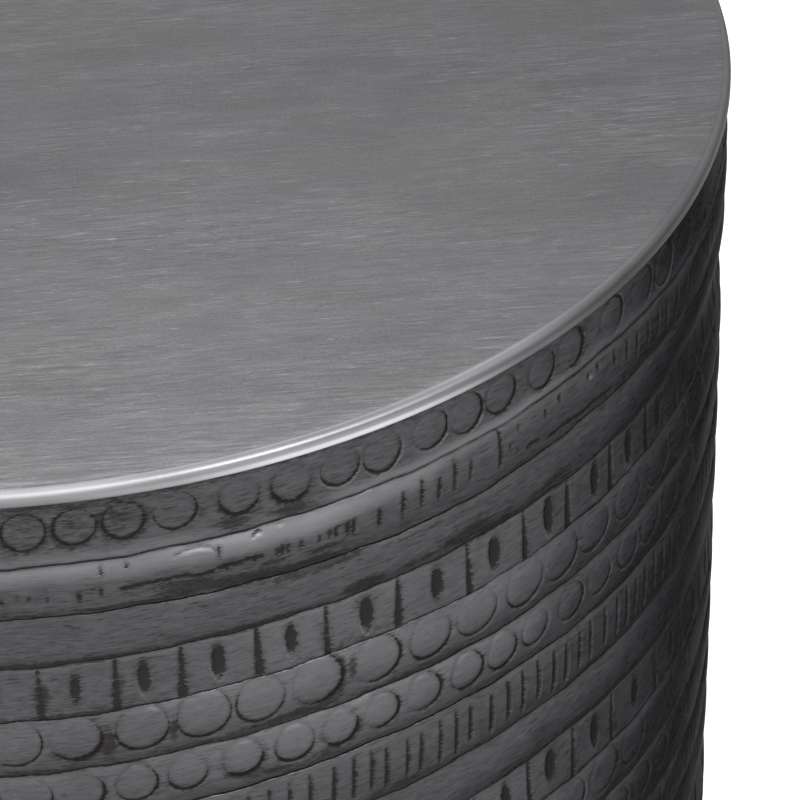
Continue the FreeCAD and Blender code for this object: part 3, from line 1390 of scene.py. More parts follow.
@dataclass(frozen=True)
class Crease:
    """A ridge with a painted highlight beside a dark fold, where a band was beaten over."""

    points: Points
    ridge_mm: float
    fold_mm: float
    dark: float = 0.0
    shine: float = 0.7

    def beat(self, band: BandField) -> None:
        """Raise the ridge, press the fold above it, and paint a highlight on the ridge.

        Args:
            band: The band's arrays.
        """
        columns, along, drop = stroke(self.points, 1.5, band)
        first, last = self.points[0][0], self.points[-1][0]
        ends = ease((along - first) / 2.0) * ease((last - along) / 2.0)
        shape = self.ridge_mm * peak(drop, 0.7, 0.7) - self.fold_mm * peak(drop, -0.5, 0.5)
        band.height[:, columns] += ends * shape
        band.stain(columns, self.dark * ends * peak(drop, -0.9, 0.7))
        band.paint_highlight(columns, self.shine * ends * peak(drop, 0.0, 0.3))


def listed(rows: Sequence[Any], cycle: int) -> Any:
    """Return what is listed for a cycle of bands, or nothing."""
    return rows[cycle] if cycle < len(rows) else ()


# What the wall's layers hold where nothing is marked, if not 0.
UNMARKED: Dict[str, Any] = {"groove": FAR_MM, "slack": FAR_MM, "pit": FAR_MM, "mark": NO_MARK}


@dataclass
class DrumWall:
    """The chased wall: twenty bands that bulge between wandering grooves, in ten closed courses.

    Marks are listed where the front shows them, cycle by cycle of bands, and drawn elsewhere.
    """

    rim_radius_mm: float = 230.0
    rim_edge_mm: float = 395.4
    wall_bottom_mm: float = 5.0
    wall_top_mm: float = 398.6
    groove_radius_mm: float = 225.8
    inner_radius_mm: float = 224.8
    relief_mm: float = 1.6
    turned_edge_radius_mm: float = 220.8
    sheet_mm: float = 1.0
    bands: int = 20
    bands_per_course: int = 2
    rows_per_band: int = 26
    fine_step_mm: float = 0.56
    coarse_step_mm: float = 0.99
    fine_from_mm: float = -40.0
    fine_to_mm: float = 300.0
    seed: int = 41

    # The wall stays inside this radius, by how much more behind the rim, and is eased up to it.
    most_radius_mm: float = 229.9
    rim_clearance_mm: float = 1.5
    cap_ease_mm: float = 0.6

    # The seam: how deep it is pressed in, and half its width.
    seam_depth_mm: float = 0.5
    seam_half_width_mm: float = 0.7

    # How far marks keep from the seam, and where the groove behind the rim lies.
    seam_margin_mm: float = 6.0
    top_groove_mm: float = -0.4

    # Waves of a groove's slow wander and of its shake: how many go round, and their reach.
    wander: Tuple[Tuple[int, float], ...] = ((2, 0.32), (3, 0.34), (5, 0.3), (9, 0.22), (14, 0.12))
    shake: Tuple[Tuple[int, float], ...] = ((47, 0.2), (83, 0.13), (171, 0.07))

    # Usual distances between small discs, large discs, lozenges and cuts, and how far each strays.
    small_pitch: Tuple[float, float] = (15.2, 0.9)
    large_pitch: Tuple[float, float] = (18.1, 1.0)
    lozenge_pitch: Tuple[float, float] = (22.4, 1.0)
    cut_pitch: Tuple[float, float] = (6.6, 0.5)

    # The bake map: strips of the outer face, their gaps, and the thin strip above them.
    map_strips: int = 6
    map_height: float = 0.94
    map_gap: float = 0.004
    map_side: float = 0.003
    map_inner_foot: float = 0.945
    map_inner_height: float = 0.05

    # How far the wall stands out of round on the right, at each depth, and between which turns
    # from the front, in degrees, that comes and goes.
    bulge: Points = (
        (0, 2.3), (14, 2.2), (34, 2.7), (46, 2.3), (64, 1.2), (76, 1.7), (92, 2.6), (400, 2.6),
    )
    bulge_comes: Tuple[float, float] = (38.0, 72.0)
    bulge_goes: Tuple[float, float] = (100.0, 150.0)

    # At each place around: how firmly the marks are struck, how far the bands are beaten out,
    # how far the stain is wiped off the faces and painted light falls on them, and how strong the
    # painted highlight along the upper edges is.
    struck: Points = (
        (-720, 0.8), (-80, 0.85), (0, 1.0), (165, 1.0), (230, 0.3), (310, 0.3), (400, 0.8),
        (720, 0.8),
    )
    beaten_out: Points = (
        (-720, 1.0), (145, 1.0), (188, 0.5), (280, 0.42), (330, 1.0), (720, 1.0),
    )
    wiped_and_lit: Points = (
        (-720, 0.8), (-60, 0.6), (20, 0.5), (75, 1.0), (150, 0.85), (185, 0.12), (240, 0.0),
        (420, 0.7), (720, 0.8),
    )
    edge_highlight_shown: Points = (
        (-720, 1.0), (150, 1.0), (185, 0.35), (260, 0.35), (400, 1.0), (720, 1.0),
    )

    # At each place around: painted shade under the rim, a painted highlight along the foot of the
    # first band, and how far the second band puffs out and takes a painted highlight.
    under_rim_shade: Points = ((-60, 0.45), (-5, 0.6), (38, 0.6), (60, 0.45), (400, 0.45))
    foot_highlight: Points = (
        (-60, 0.2), (0, 0.3), (45, 0.34), (62, 0.08), (84, 0.12), (97, 0.45), (150, 0.6),
        (190, 0.25), (250, 0.1), (400, 0.25),
    )
    puffed_and_highlit: Points = (
        (-60, 0.25), (0, 0.66), (50, 0.82), (80, 1.0), (110, 0.75), (140, 0.3), (200, 0.15),
        (400, 0.3),
    )
    top_face_wipe_and_light: float = 0.04
    top_stain_and_shade: float = 0.35

    # How far down each of the upper grooves lies, where the front shows its wander.
    front_grooves: Tuple[Points, ...] = (
        ((15, 24.0), (50, 23.5), (100, 22.8), (150, 22.3), (200, 21.4), (250, 22.4)),
        ((10, 41.5), (60, 41.8), (125, 42.2), (200, 39.8), (240, 39.6), (270, 41.0)),
        ((0, 58.6), (50, 57.7), (100, 57.3), (150, 57.0), (200, 57.0), (245, 56.2)),
        ((10, 77.2), (60, 75.6), (100, 75.0), (140, 75.6), (180, 75.0), (230, 74.4)),
        ((0, 96.6), (50, 95.2), (100, 94.4), (150, 95.1), (200, 94.2), (245, 93.2)),
        ((10, 116.0), (60, 114.0), (100, 113.0), (150, 113.5), (200, 114.2), (250, 114.0)),
        ((50, 136.0), (110, 135.2), (150, 134.4), (200, 134.8), (245, 135.2)),
        ((90, 154.0), (140, 152.6), (180, 152.0), (215, 153.0), (245, 154.4)),
        ((140, 172.6), (190, 172.4), (225, 173.6)),
        ((150, 193.4), (200, 193.8), (240, 194.2)),
    )

    # Where discs, bars, lozenges and cuts lie around, a row for each cycle.
    small_rounds: Tuple[Tuple[float, ...], ...] = (
        (2, 16, 29.5, 44, 62.5, 78, 93, 106.5, 123, 136, 149.5, 167, 180, 200.5, 218),
        (-1, 14, 29, 44, 60.5, 76.5, 91, 105, 120, 136, 150, 164.5, 181.5, 196, 212),
    )

    # The first letter of each disc's look, and the looks that the other discs draw from.
    small_looks: Tuple[str, ...] = ("SSSTBBLLLLTCBCC", "FCTCBCBCCTCFCFC")
    large_looks: Tuple[str, ...] = ("FBTTTBCCFFFFFC", "FBCF")
    drawn_looks: str = "CCCLLTSBTF"

    # Where each listed disc's stain and painted shade sit, in degrees from the right and downwards.
    small_turns: Tuple[Tuple[float, ...], ...] = (
        (90, 120, 100, 60, 95, 110, 85, 80, 40, 35, 60, 60, 15, -20, 0),
    )
    large_turns: Tuple[Tuple[float, ...], ...] = (
        (40, 55, 90, 80, 110, 35, 35, 80, 80, 90, 60, 60, 90, 90),
    )
    large_rounds: Tuple[Tuple[float, ...], ...] = (
        (-4.5, 12.5, 31.5, 49.5, 66.5, 84.5, 104, 122.5, 140, 160, 176.5, 193, 212, 232),
        (183, 201, 219, 236.5),
    )
    bars: Tuple[Tuple[float, ...], ...] = (
        (3.2, 25, 44, 66.3, 88, 112, 137.3, 160, 180, 202.3, 224),
        (140, 163, 184.5, 205.5, 234.5),
    )
    lozenges: Tuple[Tuple[float, ...], ...] = (
        (13.4, 32.8, 54.5, 76.6, 100.8, 125.4, 147.2, 170.5, 193.4, 212.6, 232),
        (152.5, 173, 195.5, 219.5, 247),
    )
    full_cuts: Tuple[float, ...] = (
        68, 74.5, 81, 89, 95.5, 101.5, 106.5, 114, 119, 126, 132, 137.5, 146, 153, 159.5, 166.5,
        174, 180, 186.5, 192, 200, 207, 213, 218.5,
    )

    # Each cut of the ragged front row: around, from and to depth, half width.
    ragged_cuts: Tuple[Tuple[float, float, float, float], ...] = (
        (22.4, 25.8, 28.0, 0.35), (29.7, 26.0, 27.0, 0.25), (55.8, 26.4, 29.2, 0.4),
        (-5, 33.2, 35.4, 0.2), (-1, 32.8, 33.4, 0.2), (2.2, 33.2, 33.8, 0.3),
        (7.4, 34.0, 35.0, 0.25), (16.2, 33.2, 37.0, 0.45), (22.3, 32.8, 35.2, 0.35),
        (41.5, 33.2, 34.4, 0.6), (58.0, 32.8, 34.2, 0.9), (66.6, 32.8, 34.0, 0.9),
        (72.9, 31.4, 33.6, 0.5), (74.4, 31.0, 33.8, 0.8), (76.2, 31.4, 33.4, 0.45),
        (80.2, 31.3, 34.0, 0.5), (85.8, 31.4, 33.8, 0.25), (89.0, 31.0, 32.6, 0.6),
        (91.3, 30.4, 34.2, 0.4), (95.0, 30.4, 35.0, 0.6), (96.8, 30.2, 35.4, 0.6),
        (105.3, 30.0, 35.6, 0.55), (113.2, 27.6, 36.0, 0.4), (119.8, 26.2, 35.0, 0.38),
        (126, 28.4, 35.2, 0.42), (131.6, 25.2, 34.6, 0.42), (137.5, 27.4, 34.2, 0.3),
        (149, 23.0, 35.6, 0.48), (156.8, 24.9, 27.2, 0.2), (153, 29.9, 30.6, 0.35),
        (156.3, 33.0, 33.8, 0.3), (168.4, 26.2, 27.6, 0.5), (174.8, 24.6, 26.2, 0.35),
        (188.9, 24.9, 26.6, 0.5), (193.5, 23.8, 25.6, 0.5), (202.3, 24.4, 28.6, 0.4),
        (209.3, 24.8, 31.0, 0.45), (215, 25.6, 33.0, 0.45), (222, 25.6, 34.0, 0.5),
        (229, 25.8, 35.0, 0.5), (235, 26.0, 35.4, 0.5), (243, 26.2, 36.0, 0.5),
    )

    # Scored lines, patches of stain and beaten creases of the front.
    scores: Tuple[Score, ...] = (
        Score(((15, 33.2), (18.6, 33.0), (22.4, 32.6)), 0.2, 0.02, 2.0),
        Score(((28.2, 33.8), (31, 33.5), (35.8, 33.3), (41.9, 33.0), (46, 32.9), (48.8, 34.2),
              (53, 33.9), (56.7, 32.6), (61.7, 32.7), (63.8, 32.1), (68.1, 32.4)), 0.72, 0.3, 7.0),
        Score(((90.4, 30.6), (94, 30.4), (97, 30.1)), 0.25, 0.1, 5.0),
        Score(((161, 34.4), (163, 34.2), (165.4, 34.9)), 0.5, 0.1, 3.0),
        Score(((171, 36.4), (178, 36.0), (186, 36.6), (194, 36.0), (201, 36.6)), 0.6, 0.15, 3.5),
    )
    blots: Tuple[Blot, ...] = (
        Blot(2, 10, 6, 6, 0.36), Blot(16, 10, 6, 6, 0.4), Blot(28, 9.5, 7, 6, 0.5),
        Blot(44, 10, 5, 5, 0.25), Blot(9.5, 11, 2.4, 3.5, 0.5), Blot(23, 10, 2.8, 4.5, 0.6),
        Blot(37, 9.5, 2.4, 4.5, 0.42), Blot(51, 13, 3.0, 5.0, 0.42), Blot(60, 18.6, 6, 2.2, 0.8),
        Blot(52, 23.0, 40, 0.9, 0.4), Blot(78, 19.3, 7, 2.2, 0.85), Blot(46, 36.6, 9, 2.8, 0.9),
        Blot(55, 38.6, 18, 2.2, 1.0), Blot(30, 40.4, 24, 1.2, 0.8), Blot(76, 40.4, 24, 2.2, 1.0),
        Blot(86, 42.6, 17, 1.8, 0.95), Blot(88, 36.5, 9, 1.8, 0.65), Blot(72, 35.6, 6, 2.0, 0.6),
        Blot(58, 45, 22, 1.0, 0.34), Blot(120, 44.0, 20, 1.0, 0.36), Blot(96, 34.5, 4, 2.5, 0.5),
        Blot(101, 54.6, 7, 2.6, 1.25), Blot(118, 54.0, 12, 1.6, 0.6),
        Blot(137, 52.6, 11, 3.0, 1.05), Blot(34, 52.5, 14, 1.2, 0.35), Blot(146, 56, 14, 2.0, 0.8),
        Blot(60, 56.6, 30, 1.7, 0.75), Blot(10, 57.6, 30, 1.7, 0.75), Blot(100.5, 61, 5, 2.6, 0.5),
        Blot(26, 66, 2.6, 6, 0.45), Blot(44, 68, 3.0, 5, 0.4), Blot(33, 66, 4.0, 3.0, 0.4),
        Blot(21.5, 87, 2.6, 6, 1.0), Blot(40.5, 86, 1.6, 5, 0.7), Blot(50, 94, 30, 1.8, 0.6),
        Blot(76, 92.4, 17, 1.9, 0.95), Blot(12, 75.6, 22, 1.3, 0.8), Blot(95.5, 82, 1.8, 5, 0.7),
        Blot(70, 110, 10, 2.4, 0.6), Blot(86, 110, 7, 2.4, 0.55), Blot(112, 132, 14, 2.0, 0.62),
        Blot(175, 53, 14, 2.4, 0.55),
    )
    creases: Tuple[Crease, ...] = (
        Crease(((41.2, 27.0), (43.5, 26.6), (45.8, 25.8), (49.8, 25.6), (53.2, 26.1), (55.2, 27.8),
               (56.6, 29.9)), 0.08, 0.16, 0.4, 0.6),
        Crease(((64.6, 27.2), (66, 26.2), (67.5, 25.3), (69.6, 25.6)), 0.06, 0.25, 0.95, 0.5),
        Crease(((72.4, 24.5), (74.8, 24.6), (76.4, 24.0)), 0.15, 0.1, 0.2),
        Crease(((72, 22.5), (80.1, 22.1), (89.4, 22.3), (99.2, 22.6), (106, 22.8)), 0.14, 0.0),
        Crease(((187.5, 27.4), (189.5, 26.6), (192, 25.8)), 0.08, 0.15, 0.5),
    )

    def __post_init__(self) -> None:
        """Work out what follows from the sizes."""
        self.girth = FULL_TURN * self.rim_radius_mm
        self.depth = self.rim_edge_mm - self.wall_bottom_mm
        self.around = self._column_places()
        self.random = np.random.default_rng(self.seed)
        self.grooves = [self._groove(index) for index in range(self.bands + 1)]

    def _column_places(self) -> Array:
        """Place the columns, closest together at the front and right.

        Returns:
            Places around, from the seam to the seam.
        """
        half = self.girth / 2.0
        spans = (
            (-half, self.fine_from_mm, self.coarse_step_mm),
            (self.fine_from_mm, self.fine_to_mm, self.fine_step_mm),
            (self.fine_to_mm, half, self.coarse_step_mm),
        )
        return np.concatenate([
            np.linspace(start, stop, int((stop - start) / step), endpoint=False)
            for start, stop, step in spans
        ])

    def _along(self, points: Points) -> Array:
        """Return a value for each column from points around the wall."""
        return eased_line(self.around, points)

    def _waves(self, waves: Sequence[Tuple[int, float]]) -> Array:
        """Add waves up, each with a drawn phase.

        Args:
            waves: How many go round the drum, and how far each reaches.

        Returns:
            The sum in each column.
        """
        turn = self.around / self.rim_radius_mm
        total = np.zeros_like(turn)
        for count, reach in waves:
            total += reach * np.sin(count * turn + self.random.uniform(0.0, FULL_TURN))
        return total

    def _groove(self, index: int) -> Array:
        """Lay one groove.

        Args:
            index: The groove, from 0 behind the rim.

        Returns:
            How far down it lies in each column.
        """
        if index == 0:
            return np.full_like(self.around, self.top_groove_mm)
        if index == self.bands:
            return np.full_like(self.around, self.depth)
        wander = self._waves(self.wander)
        shake = self._waves(self.shake)
        even = self.depth * index / self.bands + self.random.uniform(-0.7, 0.7)
        if index > len(self.front_grooves):
            return even + wander + shake
        shown_points = self.front_grooves[index - 1]
        shown = self._along(shown_points)
        middle = float(np.mean([value for _, value in shown_points]))
        share = ease((self.around + 60.0) / 60.0) * ease((330.0 - self.around) / 70.0)
        return (middle * 0.6 + even * 0.4 + wander) * (1.0 - share) + shown * share + shake

    def _spaced(self, known: Sequence[float], pitch: float, stray: float) -> List[float]:
        """Carry listed places on round the wall.

        Args:
            known: Places that are listed, in rising order, or none.
            pitch: Usual distance between marks.
            stray: How far a mark may stray.

        Returns:
            Places all the way round, stopping short of the seam.
        """
        stop = self.girth / 2.0 - self.seam_margin_mm
        places = list(known) or [-stop]
        place = places[-1] + pitch
        while place < stop:
            places.append(place + self.random.uniform(-stray, stray))
            place += pitch * self.random.uniform(0.96, 1.04)
        place = places[0] - pitch
        while place > -stop:
            places.append(place + self.random.uniform(-stray, stray))
            place -= pitch * self.random.uniform(0.96, 1.04)
        return places

    def _field(self, index: int) -> BandField:
        """Start one band: pillow, hand-beaten unevenness, stain, and painted shade and highlights.

        Args:
            index: The band, from 0 at the top.

        Returns:
            Its arrays, without any mark.
        """
        steps = np.linspace(0.0, 1.0, self.rows_per_band + 1)
        share = 0.6 * steps + 0.4 * (1.0 - np.cos(math.pi * steps)) / 2.0
        upper, lower = self.grooves[index], self.grooves[index + 1]
        down = upper[None, :] + (lower - upper)[None, :] * share[:, None]
        around = self.around / self.girth

        swell = BandKind.of(index).swell(share)
        if index == 0:
            swell = 0.74 + 0.4 * ease((share - 0.66) / 0.24)
            swell = swell * (1.0 - np.clip((share - 0.9) / 0.1, 0.0, 1.0) ** 2)
        full = self.relief_mm * (0.92 + 0.12 * Pattern.FULLNESS.over(around, down, index))
        height = full * self._along(self.beaten_out) * swell[:, None]
        beaten = (0.13 * Pattern.DENTS.over(around, down, index)
                  + 0.14 * Pattern.HOLLOWS.over(around, down, index))
        height += beaten * ease(np.minimum(share, 1.0 - share) * 7.0)[:, None]

        # Darker towards the lower groove: partly stain at the groove, partly painted shade under
        # the band.
        groove_stain_and_shade = peak(down, lower, 3.6) + 0.12 * peak(down, upper, 1.8)
        smeared = 0.2 + 0.45 * ease(Pattern.STAIN.over(around, down, index) * 1.5 - 0.1)
        blot = smeared * groove_stain_and_shade * (self.top_stain_and_shade if index == 0 else 1.0)
        # Painted highlight along each band's upper edge, broken up at random.
        edge = ease(Pattern.RUBBING.over(around, down, index) * 1.2 + 0.4)
        edge = edge * peak(down - upper, 0.9, 0.55) * self._along(self.edge_highlight_shown)
        rub = self._wiped_and_lit(index, share) + EDGE_HIGHLIGHTS[BandKind.of(index)] * edge
        return BandField(self.girth, self.around, down, share, height, blot, rub)

    def _wiped_and_lit(self, index: int, share: Array) -> Array:
        """Work out how far the stain was wiped off the faces of a band, with painted light on them.

        Args:
            index: The band, from 0 at the top.
            share: Share of the band's height, one per row.

        Returns:
            Wiped and painted brightness, 0..1, of shape (rows, columns).
        """
        kind = BandKind.of(index)
        # Painted light, partly wiped stain: paler at the front and towards the band's top, fading
        # out to the right.
        across = self._along(self.wiped_and_lit)
        down = ease((1.05 - share) / 0.9)
        if kind is BandKind.LOZENGES:
            across = across ** 2.5
            down = 0.6 + 0.4 * down
        most = self.top_face_wipe_and_light if index == 0 else FACE_WIPES_AND_LIGHT[kind]
        return most * across[None, :] * down[:, None]

    def _punch(self, index: int, band: BandField) -> None:
        """Punch the marks of one band.

        Args:
            index: The band, from 0 at the top.
            band: Its arrays.
        """
        punches = {
            BandKind.SMALL_ROUNDS: self._small_rounds, BandKind.LARGE_ROUNDS: self._large_rounds,
            BandKind.LOZENGES: self._lozenges, BandKind.CUTS: self._cuts,
        }
        kind = BandKind.of(index)
        if kind in punches:
            punches[kind](index // len(BandKind), band)

    def _small_rounds(self, cycle: int, band: BandField) -> None:
        """Punch a row of small discs.

        Args:
            cycle: The cycle of bands, from 0 at the top.
            band: The band's arrays.
        """
        draw = self.random.uniform
        centre = 0.48 if cycle == 0 else 0.39
        places = self._spaced(listed(self.small_rounds, cycle), *self.small_pitch)
        for number, place in enumerate(places):
            look = self._look(self.small_looks, cycle, number)
            turn = self._turn(self.small_turns, cycle, number)
            lowered = 1.0 if cycle == 0 and 150.0 < place < 300.0 else 0.0
            RoundPunch(
                place, draw(5.7, 6.2), look, centre, draw(0.24, 0.36), draw(0.12, 0.24), turn,
                draw(0.97, 1.06), lowered + draw(-0.3, 0.3),
            ).strike(band)

    def _large_rounds(self, cycle: int, band: BandField) -> None:
        """Punch a row of large discs.

        Args:
            cycle: The cycle of bands, from 0 at the top.
            band: The band's arrays.
        """
        draw = self.random.uniform
        places = self._spaced(listed(self.large_rounds, cycle), *self.large_pitch)
        for number, place in enumerate(places):
            RoundPunch(
                place, draw(7.4, 8.0), self._look(self.large_looks, cycle, number), 0.385,
                draw(0.22, 0.34), draw(0.08, 0.18), self._turn(self.large_turns, cycle, number),
                draw(0.97, 1.05), draw(-0.3, 0.3),
            ).strike(band)

    def _lozenges(self, cycle: int, band: BandField) -> None:
        """Punch a row of lozenges between stained upright bars.

        Args:
            cycle: The cycle of bands, from 0 at the top.
            band: The band's arrays.
        """
        draw = self.random.uniform
        middle = float(np.mean(band.down))
        for place in self._spaced(listed(self.bars, cycle), *self.lozenge_pitch):
            Cut(
                place, 0.06, draw(0.88, 0.97), draw(0.65, 1.1), draw(0.4, 0.55),
                draw(-0.03, 0.03), flare=0.8,
            ).strike(band)
            Blot(
                place + draw(-0.7, 0.7), middle + draw(-1.0, 5.0), draw(1.6, 2.8),
                draw(4.5, 8.0), draw(0.5, 0.85),
            ).lay(band)
        for place in self._spaced(listed(self.lozenges, cycle), *self.lozenge_pitch):
            stout = 1.0 + 0.0022 * float(np.clip(place, 0.0, 150.0))
            Lozenge(
                place, draw(1.45, 1.85) * stout, draw(4.1, 4.6) * stout, draw(0.41, 0.45),
                draw(0.4, 0.55), draw(0.0, 0.5),
            ).strike(band)

    def _cuts(self, cycle: int, band: BandField) -> None:
        """Chisel a row of cuts, ragged at the front of the first one.

        Args:
            cycle: The cycle of bands, from 0 at the top.
            band: The band's arrays.
        """
        draw = self.random.uniform
        if cycle == 0:
            self._ragged_front(band)
            for place in self._spaced((251.0, 258.0), 7.0, 0.6):
                if place > 248.0 or place < -8.0:
                    Cut(
                        place, draw(0.15, 0.3), draw(0.62, 0.75), draw(0.3, 0.5),
                        draw(0.35, 0.5), draw(-0.04, 0.04),
                    ).strike(band)
            return
        known = self.full_cuts if cycle == 1 else ()
        for place in self._spaced(known, *self.cut_pitch):
            Cut(
                place, draw(0.13, 0.2), draw(0.74, 0.84), draw(0.4, 0.7), draw(0.42, 0.6),
                draw(-0.02, 0.02), draw(-0.1, 0.1), 0.2,
            ).strike(band)

    def _ragged_front(self, band: BandField) -> None:
        """Chisel the listed cuts and scored lines of the second band.

        Args:
            band: The band's arrays.
        """
        for place, top, bottom, half_width in self.ragged_cuts:
            columns, _ = band.near(place, 1.0)
            upper, lower = (float(np.mean(band.down[row, columns])) for row in (0, -1))
            shares = [(depth - upper) / (lower - upper) for depth in (top, bottom)]
            lean = self.random.uniform(-0.03, 0.03)
            Cut(place, *shares, half_width, 0.4, lean).strike(band)
        for score in self.scores:
            score.scratch(band)

    def _look(self, rows: Sequence[str], cycle: int, number: int) -> RingLook:
        """Return the listed look of a disc, or a drawn one where none is listed."""
        letter = listed(rows, cycle)[number:number + 1] or self.random.choice([*self.drawn_looks])
        return next(look for look in RingLook if look.name[0] == letter)

    def _turn(self, rows: Sequence[Sequence[float]], cycle: int, number: int) -> float:
        """Return which way a disc's stain and painted shade sit, in radians, listed or drawn."""
        turns = listed(rows, cycle)
        return math.radians(turns[number]) if number < len(turns) else self.random.uniform(0.4, 1.8)

    def band_field(self, index: int) -> BandField:
        """Make one band.

        Args:
            index: The band, from 0 at the top.

        Returns:
            Its finished arrays.
        """
        band = self._field(index)
        plain = band.height.copy()
        self._punch(index, band)
        struck = self._along(self.struck)
        band.height = plain + (band.height - plain) * struck
        band.slack += 0.3 * (1.0 - struck)
        band.pit += 0.25 * (1.0 - struck)
        band.rub *= struck
        highest, lowest = np.min(self.grooves[index]) - 4.0, np.max(self.grooves[index + 1]) + 4.0
        for blot in self.blots:
            if highest < blot.down_mm < lowest:
                blot.lay(band)
        if index == 0:
            self._under_rim(band)
        if index == 1:
            self._puff_and_highlight(band)
            for crease in self.creases:
                crease.beat(band)
        return band

    def _under_rim(self, band: BandField) -> None:
        """Paint shade under the rim, and a highlight on the flared foot of the first band.

        Args:
            band: The band's arrays.
        """
        # Painted shade under the rim's overhang.
        stain = self._along(self.under_rim_shade)
        band.blot = np.maximum(band.blot, stain * peak(band.down, 2.6, 0.5 + 4.0 * stain))
        # Painted highlight on the flared foot.
        above = band.down[-1:] - band.down
        foot = self._along(self.foot_highlight) * peak(above, 2.6, 2.2)
        band.rub = np.maximum(band.rub, foot)

    def _puff_and_highlight(self, band: BandField) -> None:
        """Swell the second band along its upper edge at the front, and paint a highlight there.

        Args:
            band: The band's arrays.
        """
        reach = self._along(self.puffed_and_highlit)
        below = band.down - band.down[:1]
        band.height += reach * 0.3 * peak(below, 6.0, 4.0)
        # Painted highlight along the puffed edge.
        fall = ease((1.6 + 8.0 * reach - below) / (1.2 + 5.5 * reach)) * ease(below / 0.8)
        band.rub = np.maximum(band.rub, 0.75 * reach * fall)

    def _surface(self, first: int) -> Tuple[Array, Array, Dict[str, Array]]:
        """Stack the bands of one course.

        Args:
            first: Number of the course's first band.

        Returns:
            Depths, heights over the groove radius and the attributes, one row per ring.
        """
        downs: List[Array] = []
        heights: List[Array] = []
        layers: Dict[str, List[Array]] = {label: [] for label in ("groove",) + BAND_LAYERS}
        for index in range(first, first + self.bands_per_course):
            band = self.band_field(index)
            groove = self.grooves[index + 1] - band.down
            # Stain spreads further above a groove than below it; the wider spread is partly painted
            # shade.
            if index > 0:
                groove = np.minimum(1.6 * (band.down - self.grooves[index]) + 0.1, groove)
            start = 0 if index == first else 1
            downs.append(band.down[start:])
            heights.append(band.height[start:])
            layers["groove"].append(groove[start:])
            for label in BAND_LAYERS:
                layers[label].append(getattr(band, label)[start:])
        stacked = {label: np.concatenate(rows) for label, rows in layers.items()}
        return np.concatenate(downs), np.concatenate(heights), stacked

    def _outer_radius(self, down: Array, height: Array) -> Array:
        """Stand the surface out of round and keep it inside the rim.

        Args:
            down: Depths.
            height: Heights over the groove radius.

        Returns:
            The radius of the outer face.
        """
        turn = np.degrees(self.around / self.rim_radius_mm)
        comes, goes = self.bulge_comes, self.bulge_goes
        bulged = ease((turn - comes[0]) / (comes[1] - comes[0]))
        bulged = bulged * ease((goes[1] - turn) / (goes[1] - goes[0]))
        radius = self.groove_radius_mm + (height + bulged * eased_line(down, self.bulge))
        most = self.most_radius_mm - self.rim_clearance_mm * ease((2.6 - down) / 1.4)
        over = np.maximum(radius - most + self.cap_ease_mm, 0.0)
        return radius - over + self.cap_ease_mm * (1.0 - np.exp(-over / self.cap_ease_mm))

    def _closing_rings(self, first: int, level: Array) -> List[Tuple[float, Any]]:
        """List the rings that close a course behind its outer face.

        Args:
            first: Number of the course's first band.
            level: Heights of the outer face, one row per ring.

        Returns:
            Each ring's radius and height, from the foot inwards and up.
        """
        inner, turned = self.inner_radius_mm, self.turned_edge_radius_mm
        bottom = self.wall_bottom_mm
        if first + self.bands_per_course < self.bands:
            rings = [(inner, level[-1])]
        else:
            above = bottom + self.sheet_mm
            rings = [(turned, bottom), (turned, above), (inner, above)]
        if first == 0:
            return rings + [(inner, self.wall_top_mm), (self.groove_radius_mm, self.wall_top_mm)]
        return rings + [(inner, level[0])]

    def course(self, number: int) -> Object:
        """Build one closed course of the wall.

        Args:
            number: The course, from 0 at the top.

        Returns:
            The course's object.
        """
        first = number * self.bands_per_course
        down, height, layers = self._surface(first)
        seam = np.abs(np.abs(self.around) - self.girth / 2.0)
        height = height - self.seam_depth_mm * peak(seam, 0.0, self.seam_half_width_mm)
        layers["groove"] = np.minimum(layers["groove"], 1.6 * seam + 0.1)

        outer = self._outer_radius(down, height)
        level = self.rim_edge_mm - down
        closing = self._closing_rings(first, level)
        ones = np.ones(len(self.around))
        radius = np.concatenate([outer] + [[value * ones] for value, _ in closing])
        level = np.concatenate([level] + [[value * ones] for _, value in closing])
        for label, rows in layers.items():
            rest = np.full((len(closing),) + rows.shape[1:], UNMARKED.get(label, 0.0))
            layers[label] = np.concatenate([rows, rest])

        turn = self.around / self.rim_radius_mm
        places = np.stack([radius * np.sin(turn), -radius * np.cos(turn), level], axis=-1) * MM
        along = np.broadcast_to(self.around * MM, radius.shape)
        sheet = np.stack([along, level * MM, np.full_like(along, 0.01 * number)], axis=-1)
        faces, uvs = self._quads(radius.shape, len(outer))
        name = "wall_bands_%02d_%02d" % (first + 1, first + self.bands_per_course)
        vectors = {"sheet": sheet, "mark": layers.pop("mark")}
        return sheet_mesh(name, places, faces, uvs, layers, vectors)

